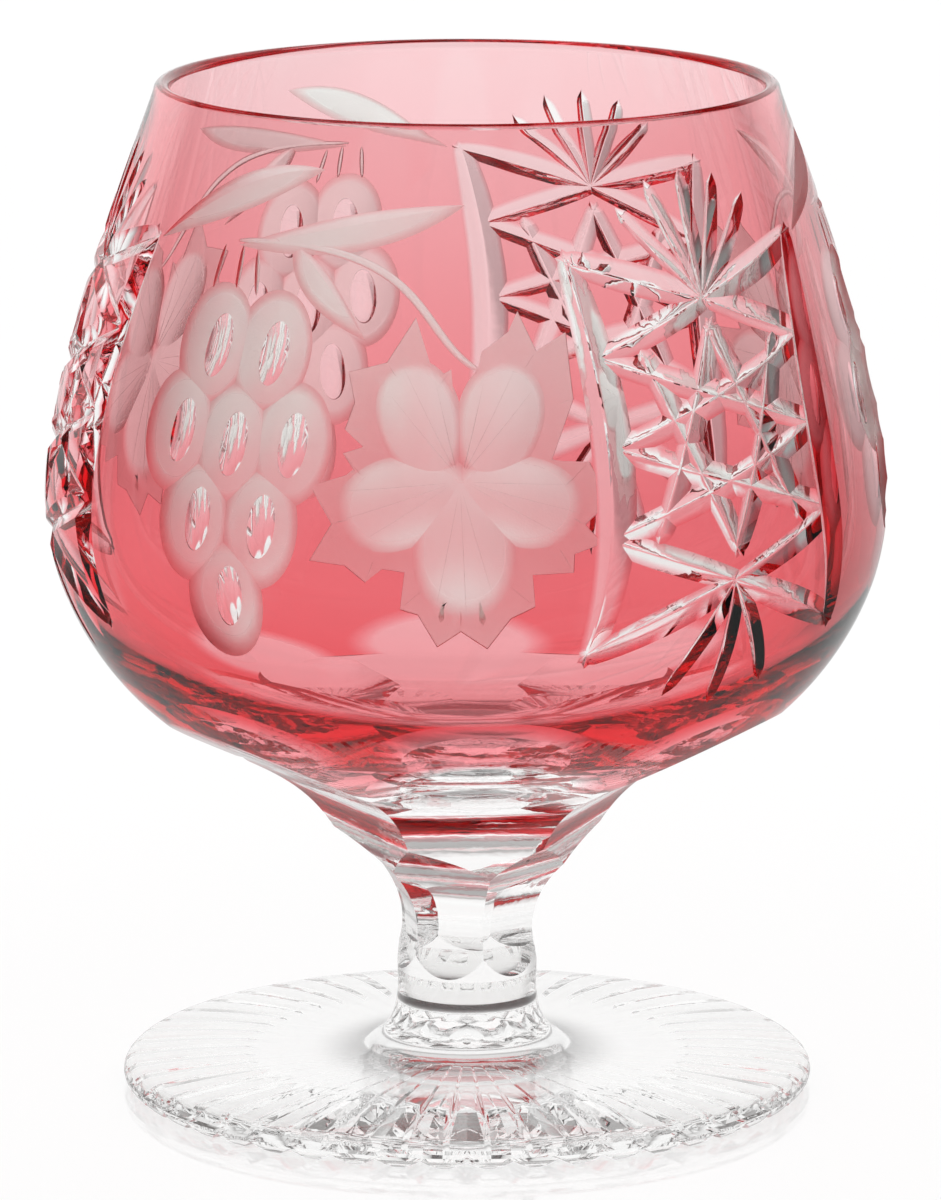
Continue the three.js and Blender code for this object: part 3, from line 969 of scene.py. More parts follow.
@dataclass(frozen=True)
class Hollowing:
    """Flat-sided hollows ground round the axis, along a curve of distances and heights."""

    sides: int
    turn: float
    curve: tuple[Place, Place, Place, Place]
    reach: float = 60.0
    steps: int = 64
    overshoot: float = 3.0

    def cutters(self, name: str) -> list[bpy.types.Object]:
        """Makes one cutter for each side.

        Args:
            name: What the cutters' names start with.

        Returns:
            The cutters.
        """
        rows = cubic(self.curve, self.steps)
        away = self.reach
        start = rows[0] + (rows[0] - rows[1]) / np.linalg.norm(rows[0] - rows[1]) * self.overshoot
        section = np.vstack([start, rows, [[away, rows[-1, 1]], [away, start[1]]]])
        made = []
        for index in range(self.sides):
            angle = math.radians(self.turn + index * 360 / self.sides)
            out = np.array([math.sin(angle), -math.cos(angle), 0.0])
            side = np.array([math.cos(angle), math.sin(angle), 0.0])
            draft = Draft()
            ends = []
            for way in (-1, 1):
                places = section[:, :1] * out + side * way * away
                places[:, 2] = section[:, 1]
                ends.append(draft.add(places))
            draft.tube(ends, len(section), Zone.CUT)
            made.append(draft.build(f"{name}_{index}"))
        return made


def cut_away(piece: bpy.types.Object, cutters: Sequence[bpy.types.Object]) -> None:
    """Takes cutters out of a piece.

    Args:
        piece: The piece that is cut.
        cutters: The closed solids that are taken out of it.
    """
    tray = bpy.data.collections.new(f"{piece.name}_cutters")
    for cutter in cutters:
        tray.objects.link(cutter)
    cut = piece.modifiers.new("cut", "BOOLEAN")
    cut.operation = "DIFFERENCE"
    cut.operand_type = "COLLECTION"
    cut.collection = tray
    cut.solver = "MANIFOLD"
    ready = piece.evaluated_get(bpy.context.evaluated_depsgraph_get())
    mesh = bpy.data.meshes.new_from_object(ready)
    piece.modifiers.clear()
    piece.data = mesh
    bpy.data.collections.remove(tray)


def discard(objects: Sequence[bpy.types.Object]) -> None:
    """Removes helpers from the file."""
    for helper in objects:
        bpy.data.objects.remove(helper)


def face_zones(mesh: bpy.types.Mesh) -> Rows:
    """Reads the zone of each face."""
    return read(mesh.attributes[ZONE].data, "value", 1, np.int32)


@dataclass(frozen=True)
class Polisher:
    """Gives a finished mesh its smooth and crisp edges, its true normals and its masks."""

    crease: float = 16.0
    least_radius: float = 1e-9

    def polish(self, mesh: bpy.types.Mesh, profiles: dict[Zone, tuple[Rows, Rows]]) -> None:
        """Shades a mesh smooth between its creases.

        Args:
            mesh: The mesh.
            profiles: For a zone whose faces take the normals of the curve that they were turned
                from, that curve's heights, rising, and its (radial, upward) normals.
        """
        mesh.shade_smooth()
        mesh.set_sharp_from_angle(angle=math.radians(self.crease))
        normals = read(mesh.corner_normals, "vector", 3, np.float32)
        places = read(mesh.vertices, "co", 3, np.float32)[read(mesh.loops, "vertex_index", 1, np.int32)]
        zones = np.repeat(face_zones(mesh), read(mesh.polygons, "loop_total", 1, np.int32))
        for zone, (heights, rows) in profiles.items():
            chosen = zones == zone
            x, y, z = places[chosen].T
            radius = np.maximum(np.hypot(x, y), self.least_radius)
            radial, upward = (np.interp(z / MM, heights, rows[:, i]) for i in (0, 1))
            normals[chosen] = np.stack([x / radius * radial, y / radius * radial, upward], axis=1)
        mesh.normals_split_custom_set(normals)

    @staticmethod
    def masks(mesh: bpy.types.Mesh) -> None:
        """Writes the masks that the finishes read.

        Args:
            mesh: The mesh, with its faces' zones.
        """
        zones = face_zones(mesh)
        for name, zone in (("joined", Zone.JOINED), ("matt", Zone.MATT), ("ground", Zone.CUT)):
            layer = mesh.attributes.new(name, "FLOAT", "FACE")
            layer.data.foreach_set("value", (zones == zone).astype(np.float32))


class Nodes:
    """Lays out the nodes of one material, world or group."""

    def __init__(self, tree: bpy.types.NodeTree) -> None:
        """Starts with an empty tree."""
        self.tree = tree
        tree.nodes.clear()

    def add(
        self, kind: str, feeds: dict[str | int, Feed] | None = None, **settings: object
    ) -> bpy.types.Node:
        """Adds a node.

        Args:
            kind: The kind of node.
            feeds: What goes into its inputs: a socket, a number or a colour.
            settings: Its options.

        Returns:
            The node.
        """
        node = self.tree.nodes.new(kind)
        for name, value in settings.items():
            setattr(node, name, value)
        for name, value in (feeds or {}).items():
            self.feed(node.inputs[name], value)
        return node

    def feed(self, socket: bpy.types.NodeSocket, value: Feed) -> None:
        """Feeds an input.

        Args:
            socket: The input.
            value: The output that is linked to it, or the number or colour that it keeps.
        """
        if isinstance(value, bpy.types.NodeSocket):
            self.tree.links.new(value, socket)
        else:
            socket.default_value = (*value, 1.0) if isinstance(value, tuple) else value

    def maths(self, operation: str, *values: Feed) -> bpy.types.NodeSocket:
        """Adds a Math node with this operation, and gives its result."""
        return self.add("ShaderNodeMath", dict(enumerate(values)), operation=operation).outputs[0]

    def fade(self, value: bpy.types.NodeSocket, edges: Place) -> bpy.types.NodeSocket:
        """Adds a soft step.

        Args:
            value: What the step depends on.
            edges: The value at which it gives nothing, and the one at which it gives one.

        Returns:
            The step.
        """
        feeds = {"Value": value, "From Min": edges[0], "From Max": edges[1]}
        return self.add("ShaderNodeMapRange", feeds, interpolation_type="SMOOTHSTEP").outputs["Result"]

    def bounced(self, path: bpy.types.NodeOutputs) -> bpy.types.NodeSocket:
        """Tells the rays that a surface has only reflected from those that glass has bent.

        Args:
            path: The outputs of the Light Path node.

        Returns:
            One for a ray that was only reflected.
        """
        pure = self.maths("SUBTRACT", path["Is Glossy Ray"], path["Is Transmission Ray"])
        return self.maths("MAXIMUM", pure, 0.0)


def new_group(
    name: str, inputs: dict[str, float | Colour], outputs: dict[str, str]
) -> tuple[bpy.types.NodeTree, Nodes]:
    """Starts a shader node group.

    Args:
        name: The group's name.
        inputs: Each input's name and usual value, which is a number or a colour.
        outputs: Each output's name and kind of socket.

    Returns:
        The group and its layout, which holds its input and output nodes.
    """
    tree = bpy.data.node_groups.new(name, "ShaderNodeTree")
    nodes = Nodes(tree)
    for label, value in inputs.items():
        kind = COLOUR if isinstance(value, tuple) else NUMBER
        nodes.feed(tree.interface.new_socket(name=label, in_out="INPUT", socket_type=kind), value)
    for label, kind in outputs.items():
        tree.interface.new_socket(name=label, in_out="OUTPUT", socket_type=kind)
    return tree, nodes


@dataclass(frozen=True)
class GroundSurface:
    """The effect that both glasses share: matt grain where the stone ground them, polish elsewhere.

    Its heights are in millimetres, and its scales in waves to the metre.
    """

    name: str = "ground_surface"
    speckle: float = 0.3
    details: tuple[tuple[str, float], ...] = (("Wave", 2.0), ("Grain", 2.0), ("Ripple", 1.0))

    def build(self) -> bpy.types.NodeTree:
        """Builds the group once.

        Returns:
            The group.
        """
        if self.name in bpy.data.node_groups:
            return bpy.data.node_groups[self.name]
        inputs = {
            "Polished Colour": WHITE, "Matt Colour": WHITE, "Polished Roughness": 0.0, "Matt Roughness": 0.5,
            "Wave Scale": 90.0, "Grain Scale": 4000.0, "Wave Height": 1.0, "Grain Height": 1.0,
            "Ripple Scale": 700.0, "Ripple Height": 0.0,
        }
        outputs = {"Colour": COLOUR, "Roughness": NUMBER, "Height": NUMBER, "Visible": NUMBER}
        tree, nodes = new_group(self.name, inputs, outputs)
        given = nodes.add("NodeGroupInput").outputs
        matt, joined, ground = (
            nodes.add("ShaderNodeAttribute", attribute_name=name).outputs["Fac"]
            for name in ("matt", "joined", "ground")
        )
        place = nodes.add("ShaderNodeTexCoord").outputs["Object"]
        wave, grain, ripple = (
            nodes.add(
                "ShaderNodeTexNoise", {"Vector": place, "Scale": given[f"{name} Scale"], "Detail": detail}
            ).outputs[0]
            for name, detail in self.details
        )
        spread = nodes.maths("SUBTRACT", given["Matt Roughness"], given["Polished Roughness"])
        speckle = nodes.maths("MULTIPLY_ADD", grain, self.speckle, 1 - self.speckle / 2)
        rough = nodes.maths("MULTIPLY", nodes.maths("MULTIPLY", matt, speckle), spread)
        waves = nodes.maths("MULTIPLY", wave, given["Wave Height"])
        grains = nodes.maths("MULTIPLY", nodes.maths("MULTIPLY", grain, matt), given["Grain Height"])
        ripples = nodes.maths("MULTIPLY", nodes.maths("MULTIPLY", ripple, ground), given["Ripple Height"])
        colours = {"Factor": matt, "A": given["Polished Colour"], "B": given["Matt Colour"]}
        nodes.add("NodeGroupOutput", {
            "Colour": nodes.add("ShaderNodeMix", colours, data_type="RGBA").outputs["Result"],
            "Roughness": nodes.maths("ADD", rough, given["Polished Roughness"]),
            "Height": nodes.maths("ADD", nodes.maths("ADD", waves, grains), ripples),
            "Visible": nodes.maths("SUBTRACT", 1.0, joined),
        })
        return tree


@dataclass(frozen=True)
class GlassFinish:
    """A glass: its tints, how strongly it bends light, and how rough and wavy it is.

    A body tint colours what shines through, the more the thicker the glass is.
    """

    name: str
    slot: Slot
    tint: Colour
    matt_tint: Colour
    bend: float = 1.53
    body_tint: Colour | None = None
    density: float = 0.0
    polished: float = 0.0
    matt: float = 0.5
    wave_height: float = 0.012
    grain_height: float = 0.02
    ripple_height: float = 0.02

    def build(self) -> bpy.types.Material:
        """Builds the material once.

        Returns:
            The material.
        """
        if self.name in bpy.data.materials:
            return bpy.data.materials[self.name]
        material = bpy.data.materials.new(self.name)
        material.use_nodes = True
        nodes = Nodes(material.node_tree)
        values = {
            "Polished Colour": self.tint, "Matt Colour": self.matt_tint, "Polished Roughness": self.polished,
            "Matt Roughness": self.matt, "Wave Height": self.wave_height, "Grain Height": self.grain_height,
            "Ripple Height": self.ripple_height,
        }
        surface = nodes.add("ShaderNodeGroup", node_tree=GroundSurface().build())
        for label, value in values.items():
            nodes.feed(surface.inputs[label], value)
        relief = {"Strength": 1.0, "Distance": MM, "Height": surface.outputs["Height"]}
        bump = nodes.add("ShaderNodeBump", relief)
        shader = nodes.add("ShaderNodeBsdfPrincipled", {
            "Base Color": surface.outputs["Colour"],
            "IOR": self.bend,
            "Transmission Weight": 1.0,
            "Roughness": surface.outputs["Roughness"],
            "Alpha": surface.outputs["Visible"],
            "Normal": bump.outputs["Normal"],
        })
        output = nodes.add("ShaderNodeOutputMaterial", {"Surface": shader.outputs["BSDF"]})
        if self.body_tint is not None:
            tints = {"Color": self.body_tint, "Density": self.density}
            body = nodes.add("ShaderNodeVolumeAbsorption", tints)
            nodes.feed(output.inputs["Volume"], body.outputs["Volume"])
        return material


CLEAR = GlassFinish(
    name="cut_crystal", slot=Slot.CRYSTAL, tint=(0.985, 0.985, 0.98), matt_tint=(0.94, 0.95, 0.9),
)
ROSE = GlassFinish(
    name="rose_glass", slot=Slot.ROSE, tint=(0.99, 0.97, 0.97), matt_tint=(0.94, 0.93, 0.88),
    body_tint=(0.955, 0.3, 0.36), density=2300.0,
)


def hand_over(piece: bpy.types.Object, finish: GlassFinish, nodes: Sequence[str]) -> None:
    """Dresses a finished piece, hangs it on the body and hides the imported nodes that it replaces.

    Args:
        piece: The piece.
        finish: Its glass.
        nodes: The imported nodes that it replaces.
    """
    Polisher.masks(piece.data)
    piece.data.materials.clear()
    piece.data.materials.append(finish.build())
    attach(piece, BODY)
    if nodes:
        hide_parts(*nodes)
    log.info("%s: %d faces, for %s", piece.name, len(piece.data.polygons), ", ".join(nodes) or "nothing")


@dataclass(frozen=True)
class Decor:
    """Everything that is ground into the bowl, made once as cutters."""

    outline: BowlOutline
    copies: int = 3
    panel_turn: float = 38.3
    field_turn: float = -21.7
    bowl_sides: Hollowing = Hollowing(
        sides=6, turn=4.4, curve=((39.0, 47.3), (19.8, 36.6), (16.5, 38.5), (11.5, 26.5))
    )
    stem_sides: Hollowing = Hollowing(
        sides=6, turn=43.4, curve=((18.0, 32.0), (5.8, 26.5), (5.0, 18.0), (9.0, 12.5)), overshoot=0.0
    )

    def turns(self, first: float) -> list[float]:
        """Gives the turns of what repeats round the bowl."""
        return [first + index * 360 / self.copies for index in range(self.copies)]

    def sides(self) -> list[bpy.types.Object]:
        """Makes the cutters of the facets under the bowl and on the stem."""
        return [*self.bowl_sides.cutters("bowl_side"), *self.stem_sides.cutters("stem_side")]

    def pattern(self) -> list[bpy.types.Object]:
        """Makes the cutters of the star panels and the grape fields.

        Returns:
            The cutters.
        """
        panels = [StarPanel(turn=turn).strokes(self.outline) for turn in self.turns(self.panel_turn)]
        fields = [GrapeField(turn=turn).cuts(self.outline) for turn in self.turns(self.field_turn)]
        return [
            cut.cutter(self.outline, f"{kind}_{number}_{index}")
            for kind, groups in (("panel", panels), ("field", fields))
            for number, cuts in enumerate(groups)
            for index, cut in enumerate(cuts)
        ]


@dataclass(frozen=True)
class Bowl:
    """The clear bowl, which the casing lies on."""

    outline: BowlOutline
    seam: float = 0.002
    belly_wall: float = 3.6
    cavity_floor: float = 41.0
    cavity_run_down: float = 18.5
    cavity_floor_run: float = 26.0
    round_steps: int = 288
    curve_steps: int = 60
    rim_steps: int = 16

    def cavity(self) -> Rows:
        """Gives the cavity's outline.

        Returns:
            Its rows, from the middle of its floor up to the rim.
        """
        o = self.outline
        inner = o.belly_radius - self.belly_wall
        rim = (o.rim_radius - o.rim_wall, o.rim_middle)
        lower = [
            (0, self.cavity_floor),
            (self.cavity_floor_run, self.cavity_floor),
            (inner, o.belly_height - self.cavity_run_down),
            (inner, o.belly_height),
        ]
        upper = [
            (inner, o.belly_height),
            (inner, o.belly_height + o.belly_run_up),
            (rim[0] + o.rim_lean, rim[1] - o.rim_run),
            rim,
        ]
        return np.vstack([cubic(lower, self.curve_steps), cubic(upper, self.curve_steps)[1:]])

    def rim(self, radius: float, first: float, last: float) -> Rows:
        """Gives part of the rim's rounding.

        Args:
            radius: Its radius.
            first: The degrees that it starts at, from the outside over the top.
            last: The degrees that it ends at.

        Returns:
            Its rows.
        """
        angles = np.radians(np.linspace(first, last, self.rim_steps + 1))
        middle = np.array([self.outline.rim_radius - self.outline.rim_wall / 2, self.outline.rim_middle])
        return middle + radius * np.stack([np.cos(angles), np.sin(angles)], axis=1)

    def build(self, cutters: Sequence[bpy.types.Object]) -> None:
        """Builds, cuts and dresses the bowl.

        Args:
            cutters: All that is ground into it.
        """
        half = self.outline.rim_wall / 2
        rim_depth = float(self.outline.casing(np.array(self.outline.rim_middle))) + self.seam
        parts = [
            (self.cavity(), Zone.INSIDE),
            (self.rim(half, 180, 90)[1:], Zone.BLOWN),
            (self.rim(half - rim_depth, 90, 0), Zone.JOINED),
            (self.outline.inside(self.seam)[1:], Zone.JOINED),
            (np.array([[NECK_RADIUS, STEM_TOP]]), Zone.CUT),
            (np.array([[0.0, STEM_TOP]]), Zone.JOINED),
        ]
        rows = np.vstack([part for part, _ in parts])
        zones = [zone for part, zone in parts for _ in part][1:] + [Zone.JOINED]
        piece = spin("crystal_bowl", rows, zones, self.round_steps)
        cut_away(piece, cutters)
        cavity = self.cavity()[1:]
        inwards = -outward(cavity[::-1])[::-1]
        Polisher().polish(piece.data, {Zone.INSIDE: (cavity[:, 1], inwards)})
        hand_over(piece, CLEAR, ["bowl"])


@dataclass(frozen=True)
class Casing:
    """The rose casing, with the islands that the cuts leave of it."""

    bowl: Bowl
    panel_turn: float
    copies: int
    star_middle: float = StarPanel.star_middle
    islands: dict[str, Place] = field(default_factory=lambda: {
        "button": (0, 0),
        "tip_top": (0, 8.5),
        "tip_bottom": (0, -8.5),
        "tip_left": (-12, 0),
        "tip_right": (12, 0),
        "side_upper_left": (-13.7, 4.8),
        "side_upper_right": (13.7, 4.8),
        "side_lower_left": (-13.4, -4.8),
        "side_lower_right": (13.4, -4.8),
        "arch_upper": (0, 11.5),
        "arch_lower": (0, -11.5),
        "corner_upper_left": (-12.4, 15),
        "corner_upper_right": (12.4, 15),
        "corner_lower_left": (-11.2, -16.5),
        "corner_lower_right": (11.2, -16.5),
    })

    def blank(self) -> bpy.types.Object:
        """Makes the casing before it is cut.

        Returns:
            A shell that ends on the crest of the rim.
        """
        outline, bowl = self.bowl.outline, self.bowl
        half = outline.rim_wall / 2
        rim_casing = float(outline.casing(np.array(outline.rim_middle)))
        outer = np.vstack([bowl.rim(half, 90, 0), outline.rows()[1:]])
        inner = np.vstack([bowl.rim(half - rim_casing, 90, 0), outline.inside()[1:]])
        rows = np.vstack([outer, inner[::-1]])
        zones = [Zone.BLOWN] * (len(outer) - 1) + [Zone.CUT] + [Zone.JOINED] * len(inner)
        return spin("casing_shell", rows, zones, bowl.round_steps)

    def name_of(self, piece: bpy.types.Object) -> str:
        """Finds which island a loose piece is, by the place of the middle of its box.

        Args:
            piece: The loose piece.

        Returns:
            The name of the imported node.
        """
        corners = np.array([list(corner) for corner in piece.bound_box]) / MM
        x, y, z = (corners.min(axis=0) + corners.max(axis=0)) / 2
        turn = math.degrees(math.atan2(x, -y))
        panel = round((turn - self.panel_turn) * self.copies / 360) % self.copies
        aside = (turn - self.panel_turn - panel * 360 / self.copies + 180) % 360 - 180
        lift = z - self.bowl.outline.belly_height - self.star_middle
        nearest = min(self.islands, key=lambda k: math.dist(self.islands[k], (aside, lift)))
        return f"panel_{panel + 1}_{nearest}"

    def loose_pieces(self, shell: bpy.types.Object) -> list[bpy.types.Object]:
        """Parts the shell where the cuts have parted it.

        Args:
            shell: The shell after the cuts.

        Returns:
            Its pieces, the largest first.
        """
        bpy.ops.object.select_all(action="DESELECT")
        shell.select_set(True)
        bpy.context.view_layer.objects.active = shell
        bpy.ops.object.mode_set(mode="EDIT")
        bpy.ops.mesh.separate(type="LOOSE")
        bpy.ops.object.mode_set(mode="OBJECT")
        pieces = list(bpy.context.selected_objects)
        return sorted(pieces, key=lambda piece: -abs(volume_of(piece.data)))

    def build(self, cutters: Sequence[bpy.types.Object]) -> None:
        """Builds, cuts, parts and dresses the casing.

        Args:
            cutters: All that is ground into it.
        """
        shell = self.blank()
        cut_away(shell, cutters)
        shell, *loose = self.loose_pieces(shell)
        named: dict[str, bpy.types.Object] = {}
        for piece in loose:
            named.setdefault(self.name_of(piece), piece)
        slivers = [piece for piece in loose if piece not in named.values()]
        bpy.ops.object.select_all(action="DESELECT")
        for piece in (shell, *slivers):
            piece.select_set(True)
        bpy.context.view_layer.objects.active = shell
        bpy.ops.object.join()
        log.info("the casing keeps %d slivers", len(slivers))
        rows = self.bowl.outline.rows()[::-1]
        normals = outward(self.bowl.outline.rows())[::-1]
        for name, piece in {"casing": shell, **named}.items():
            piece.name = f"rose_{name}"
            Polisher().polish(piece.data, {Zone.BLOWN: (rows[:, 1], normals)})
            hand_over(piece, ROSE, [name])


@dataclass(frozen=True)
class Stem:
    """The six-sided stem, between the bowl and the foot."""

    round_steps: int = 144
    curve_steps: int = 48

    def build(self, cutters: Sequence[bpy.types.Object]) -> None:
        """Builds, cuts and dresses the stem.

        Args:
            cutters: The cutters of its facets.
        """
        waist = (STEM_RADIUS, (STEM_FOOT + STEM_TOP) / 2)
        flank = cubic([(STEM_RADIUS, STEM_FOOT), waist, waist, (NECK_RADIUS, STEM_TOP)], self.curve_steps)
        rows = np.vstack([[[0.0, STEM_FOOT]], flank, [[0.0, STEM_TOP]]])
        zones = [Zone.JOINED, *[Zone.BLOWN] * self.curve_steps, Zone.JOINED, Zone.JOINED]
        piece = spin("crystal_stem", rows, zones, self.round_steps)
        cut_away(piece, cutters)
        Polisher().polish(piece.data, {})
        hand_over(piece, CLEAR, ["stem"])


@dataclass(frozen=True)
class Foot:
    """The round foot, with rays cut under it from its plain middle to its edge.

    A ray starts at a radius, runs in to a radius and a depth, and ends at the edge with its depth.
    """

    radius: float = 40.2
    edge: float = 3.3
    edge_round: float = 2.2
    flat_start: Place = (24.0, 4.7)
    flat_end: Place = (13.0, 5.0)
    dome_pulls: tuple[Place, Place] = ((33.0, 4.2), (28.0, 4.65))
    hub_pulls: tuple[Place, Place] = ((10.0, 5.1), (8.5, 7.0))
    rays: int = 48
    ray_start: float = 24.5
    ray_run_in: Place = (25.9, 0.55)
    ray_depth: float = 1.3
    ray_half_angle: float = 62.0
    round_steps: int = 384
    curve_steps: int = 64
    edge_steps: int = 12
    lift: float = 0.8

    def ray(self, turn: float, name: str) -> bpy.types.Object:
        """Makes one ray's cutter: a V that runs in quickly, and then deepens steadily outwards.

        Args:
            turn: Its direction, in radians.
            name: Its name.

        Returns:
            The cutter.
        """
        slope = math.tan(math.radians(self.ray_half_angle))
        out = np.array([math.cos(turn), math.sin(turn), 0.0])
        side = np.array([-math.sin(turn), math.cos(turn), 0.0])
        draft = Draft()
        rings = []
        run_in, run_in_depth = self.ray_run_in
        rise = (self.ray_depth - run_in_depth) / (self.radius - run_in)
        past_edge = (self.radius + self.edge, self.ray_depth + rise * self.edge)
        for radius, depth in ((self.ray_start, 0.0), self.ray_run_in, past_edge):
            half = (depth + self.lift) * slope
            top = out * radius + np.array([0.0, 0.0, depth])
            low = out * radius - np.array([0.0, 0.0, self.lift])
            rings.append(draft.add(np.stack([top, low + side * half, low - side * half])))
        draft.tube(rings, 3, Zone.BLOWN)
        return draft.build(name)

    def build(self) -> None:
        """Builds, cuts and dresses the foot."""
        angles = np.linspace(-math.pi / 2, math.pi / 2, self.edge_steps + 1)
        half = self.edge / 2
        inset = self.radius - self.edge_round
        edge = np.stack([inset + self.edge_round * np.cos(angles), half + half * np.sin(angles)], axis=1)
        dome = np.vstack([
            cubic([(inset, self.edge), *self.dome_pulls, self.flat_start], self.curve_steps),
            cubic([self.flat_end, *self.hub_pulls, (STEM_RADIUS, STEM_FOOT)], self.curve_steps),
        ])
        rows = np.vstack([[[0.0, 0.0]], edge, dome[1:], [[0.0, STEM_FOOT]]])
        zones = [*[Zone.BLOWN] * (len(rows) - 2), Zone.JOINED, Zone.JOINED]
        piece = spin("crystal_foot", rows, zones, self.round_steps)
        rays = [self.ray(index * 2 * math.pi / self.rays, f"ray_{index}") for index in range(self.rays)]
        cut_away(piece, rays)
        discard(rays)
        Polisher().polish(piece.data, {})
        hand_over(piece, CLEAR, ["foot"])


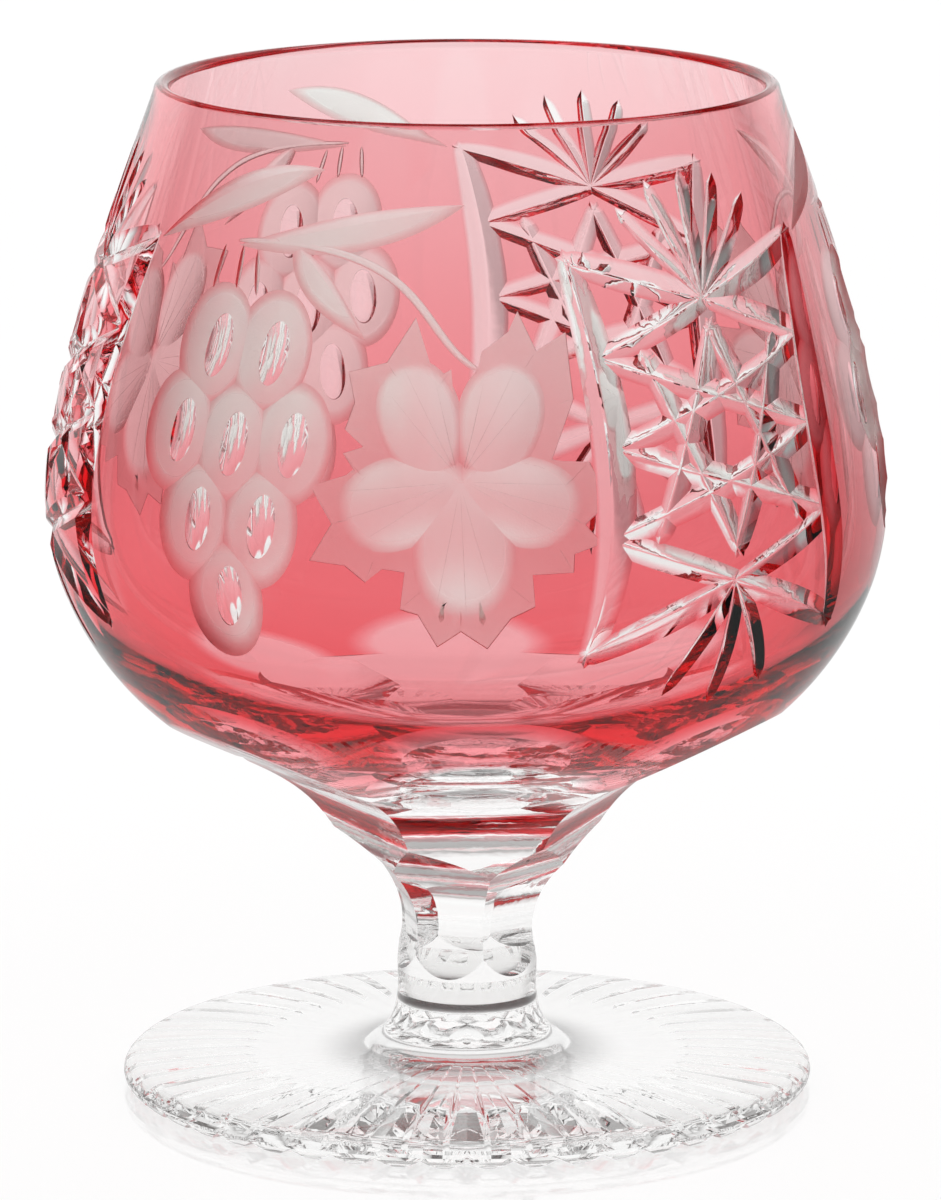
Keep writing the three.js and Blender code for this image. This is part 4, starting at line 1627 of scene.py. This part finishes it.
@dataclass(frozen=True)
class Studio:
    """The pale floor, the soft room and the camera, in metres and in degrees.

    The camera sees white all round. To rays that glass has bent, the floor has a painted shadow under
    the foot's hub, and a painted pool of light behind the glass with painted shade far off to the
    right. The room has a white wall behind the glass, duller sides, and a slope under a dark
    ceiling. Each pair of edges is where a tone starts to fade and where it has faded.
    """

    camera_place: tuple[float, float, float] = (0.0004, -0.867, 0.24)
    camera_pitch: float = 11.9
    lens: float = 229.5
    sensor: float = 36.0
    floor_size: float = 6.0
    floor_drop: float = 0.00005
    floor_white: float = 0.5
    floor_rough: float = 0.5
    floor_glow: float = 0.79
    floor_polish: float = 0.04
    floor_bend: float = 1.8
    floor_bounce: float = 0.35
    polish_edges: Place = (0.03, 0.036)
    # Painted shadow: where the floor's glow for bent rays dims under the foot's hub.
    hub_shade: Place = (0.009, 0.019)
    # A painted pool of light on the floor behind the glass, for rays that glass has bent, and the level of
    # the painted shade past its right edge.
    painted_light_reach: float = 0.062
    painted_light_spread: float = 0.062
    painted_light_edges: Place = (0.0, 0.05)
    painted_shade_level: float = 0.15
    wall_edges: Place = (0.35, 0.7)
    left_edges: Place = (0.3, -0.3)
    slope_edges: Place = (0.6, 0.38)
    ceiling_edges: Place = (0.88, 0.78)
    slope_white: float = 0.75
    deep_bounces: Place = (0.0, 2.0)
    deep_white: float = 0.85
    left_white: float = 0.3
    right_white: float = 0.15
    bounce_light: float = 0.4
    dark: Colour = (0.05, 0.035, 0.03)
    bends: int = 40
    reflections: int = 16
    see_through: int = 80

    def camera(self) -> None:
        """Places the camera at the photograph's viewing angle."""
        data = bpy.data.cameras.new("camera")
        data.lens = self.lens
        data.sensor_fit = "VERTICAL"
        data.sensor_height = data.sensor_width = self.sensor
        camera = bpy.data.objects.new("camera", data)
        camera.location = self.camera_place
        camera.rotation_euler = Euler((math.radians(90 - self.camera_pitch), 0.0, 0.0))
        bpy.context.scene.collection.objects.link(camera)
        bpy.context.scene.camera = camera

    def floor_material(self) -> bpy.types.Material:
        """Builds the floor's finish: a polished white that is matt under the foot. For rays that glass has
        bent it carries a painted shadow under the hub and painted shade to the right of a painted pool of
        light.

        Returns:
            The material.
        """
        material = bpy.data.materials.new("white_floor")
        material.use_nodes = True
        nodes = Nodes(material.node_tree)
        place = nodes.add("ShaderNodeTexCoord").outputs["Object"]
        parts = nodes.add("ShaderNodeSeparateXYZ", {"Vector": place}).outputs
        reach = nodes.add("ShaderNodeVectorMath", {"Vector": place}, operation="LENGTH").outputs["Value"]
        path = nodes.add("ShaderNodeLightPath").outputs
        bounced = nodes.maths("MULTIPLY", nodes.bounced(path), self.floor_bounce)
        # Painted light: the floor's glow for bent rays stays full behind the glass and falls to painted
        # shade towards the right.
        edge = nodes.maths("MULTIPLY_ADD", parts["Y"], self.painted_light_spread, self.painted_light_reach)
        beyond = nodes.fade(nodes.maths("SUBTRACT", parts["X"], edge), self.painted_light_edges)
        painted_patch = nodes.maths("MULTIPLY_ADD", beyond, self.painted_shade_level - 1.0, 1.0)
        # Painted shadow under the foot's hub: the floor's glow dims near the axis.
        painted_light_and_shade = nodes.maths("MULTIPLY", painted_patch, nodes.fade(reach, self.hub_shade))
        through = nodes.maths("MULTIPLY", path["Is Transmission Ray"], painted_light_and_shade)
        seen = nodes.maths("MAXIMUM", path["Is Camera Ray"], nodes.maths("MAXIMUM", through, bounced))
        shader = nodes.add("ShaderNodeBsdfPrincipled", {
            "Base Color": (self.floor_white, self.floor_white, self.floor_white),
            "Roughness": self.floor_rough,
            "Specular IOR Level": 0.0,
            "Coat Weight": nodes.fade(reach, self.polish_edges),
            "Coat Roughness": self.floor_polish,
            "Coat IOR": self.floor_bend,
            "Emission Color": WHITE,
            "Emission Strength": nodes.maths("MULTIPLY", seen, self.floor_glow),
        })
        nodes.add("ShaderNodeOutputMaterial", {"Surface": shader.outputs["BSDF"]})
        return material

    def floor(self) -> None:
        """Lays the floor, which shows white where nothing shades it."""
        half = self.floor_size / 2
        corners = ((-half, -half), (half, -half), (half, half), (-half, half))
        mesh = bpy.data.meshes.new("floor")
        mesh.from_pydata([(x, y, -self.floor_drop) for x, y in corners], [], [(0, 1, 2, 3)])
        mesh.materials.append(self.floor_material())
        piece = bpy.data.objects.new("floor", mesh)
        bpy.context.scene.collection.objects.link(piece)

    def room(self) -> None:
        """Sets the room round the glass."""
        world = bpy.data.worlds.new("room")
        world.use_nodes = True
        nodes = Nodes(world.node_tree)
        way = nodes.add("ShaderNodeTexCoord").outputs["Generated"]
        parts = nodes.add("ShaderNodeSeparateXYZ", {"Vector": way}).outputs
        path = nodes.add("ShaderNodeLightPath").outputs
        behind = nodes.fade(parts["Y"], self.wall_edges)
        left = nodes.fade(parts["X"], self.left_edges)
        low = nodes.fade(parts["Z"], self.slope_edges)
        below = nodes.fade(parts["Z"], self.ceiling_edges)
        above = nodes.maths("SUBTRACT", 1.0, low)
        slope = nodes.maths("MULTIPLY", nodes.maths("MULTIPLY", above, below), self.slope_white)
        sides = nodes.maths("MULTIPLY_ADD", left, self.left_white - self.right_white, self.right_white)
        walls = nodes.maths("MULTIPLY", nodes.maths("MAXIMUM", behind, sides), low)
        deep = nodes.fade(path["Glossy Depth"], self.deep_bounces)
        lifted = nodes.maths("MULTIPLY", nodes.maths("MULTIPLY", deep, above), self.deep_white)
        level = nodes.maths("MAXIMUM", nodes.maths("MAXIMUM", walls, slope), lifted)
        tone = nodes.add("ShaderNodeMix", {"Factor": level, "A": self.dark, "B": WHITE}, data_type="RGBA")
        duller = nodes.maths("MULTIPLY", nodes.bounced(path), nodes.maths("SUBTRACT", 1.0, behind))
        strength = nodes.maths("MULTIPLY_ADD", duller, self.bounce_light - 1.0, 1.0)
        around = nodes.add("ShaderNodeBackground", {"Color": tone.outputs["Result"], "Strength": strength})
        white = nodes.add("ShaderNodeBackground", {"Color": WHITE})
        mix = nodes.add("ShaderNodeMixShader", {
            "Fac": path["Is Camera Ray"], 1: around.outputs["Background"], 2: white.outputs["Background"],
        })
        nodes.add("ShaderNodeOutputWorld", {"Surface": mix.outputs["Shader"]})
        bpy.context.scene.world = world

    def build(self) -> None:
        """Sets up the whole studio."""
        self.camera()
        self.floor()
        self.room()
        scene = bpy.context.scene
        scene.view_settings.view_transform = "Standard"
        scene.cycles.max_bounces = self.bends
        scene.cycles.transmission_bounces = self.bends
        scene.cycles.glossy_bounces = self.reflections
        scene.cycles.transparent_max_bounces = self.see_through


def main() -> None:
    """Builds the studio and the glass."""
    logging.basicConfig(level=logging.INFO, format="%(message)s")
    Studio().build()
    outline = BowlOutline()
    decor = Decor(outline=outline)
    bowl = Bowl(outline=outline)
    sides = decor.sides()
    pattern = decor.pattern()
    Foot().build()
    Stem().build(sides)
    bowl.build([*sides, *pattern])
    Casing(bowl=bowl, panel_turn=decor.panel_turn, copies=decor.copies).build([*sides, *pattern])
    discard([*sides, *pattern])


if __name__ == "__main__":
    main()
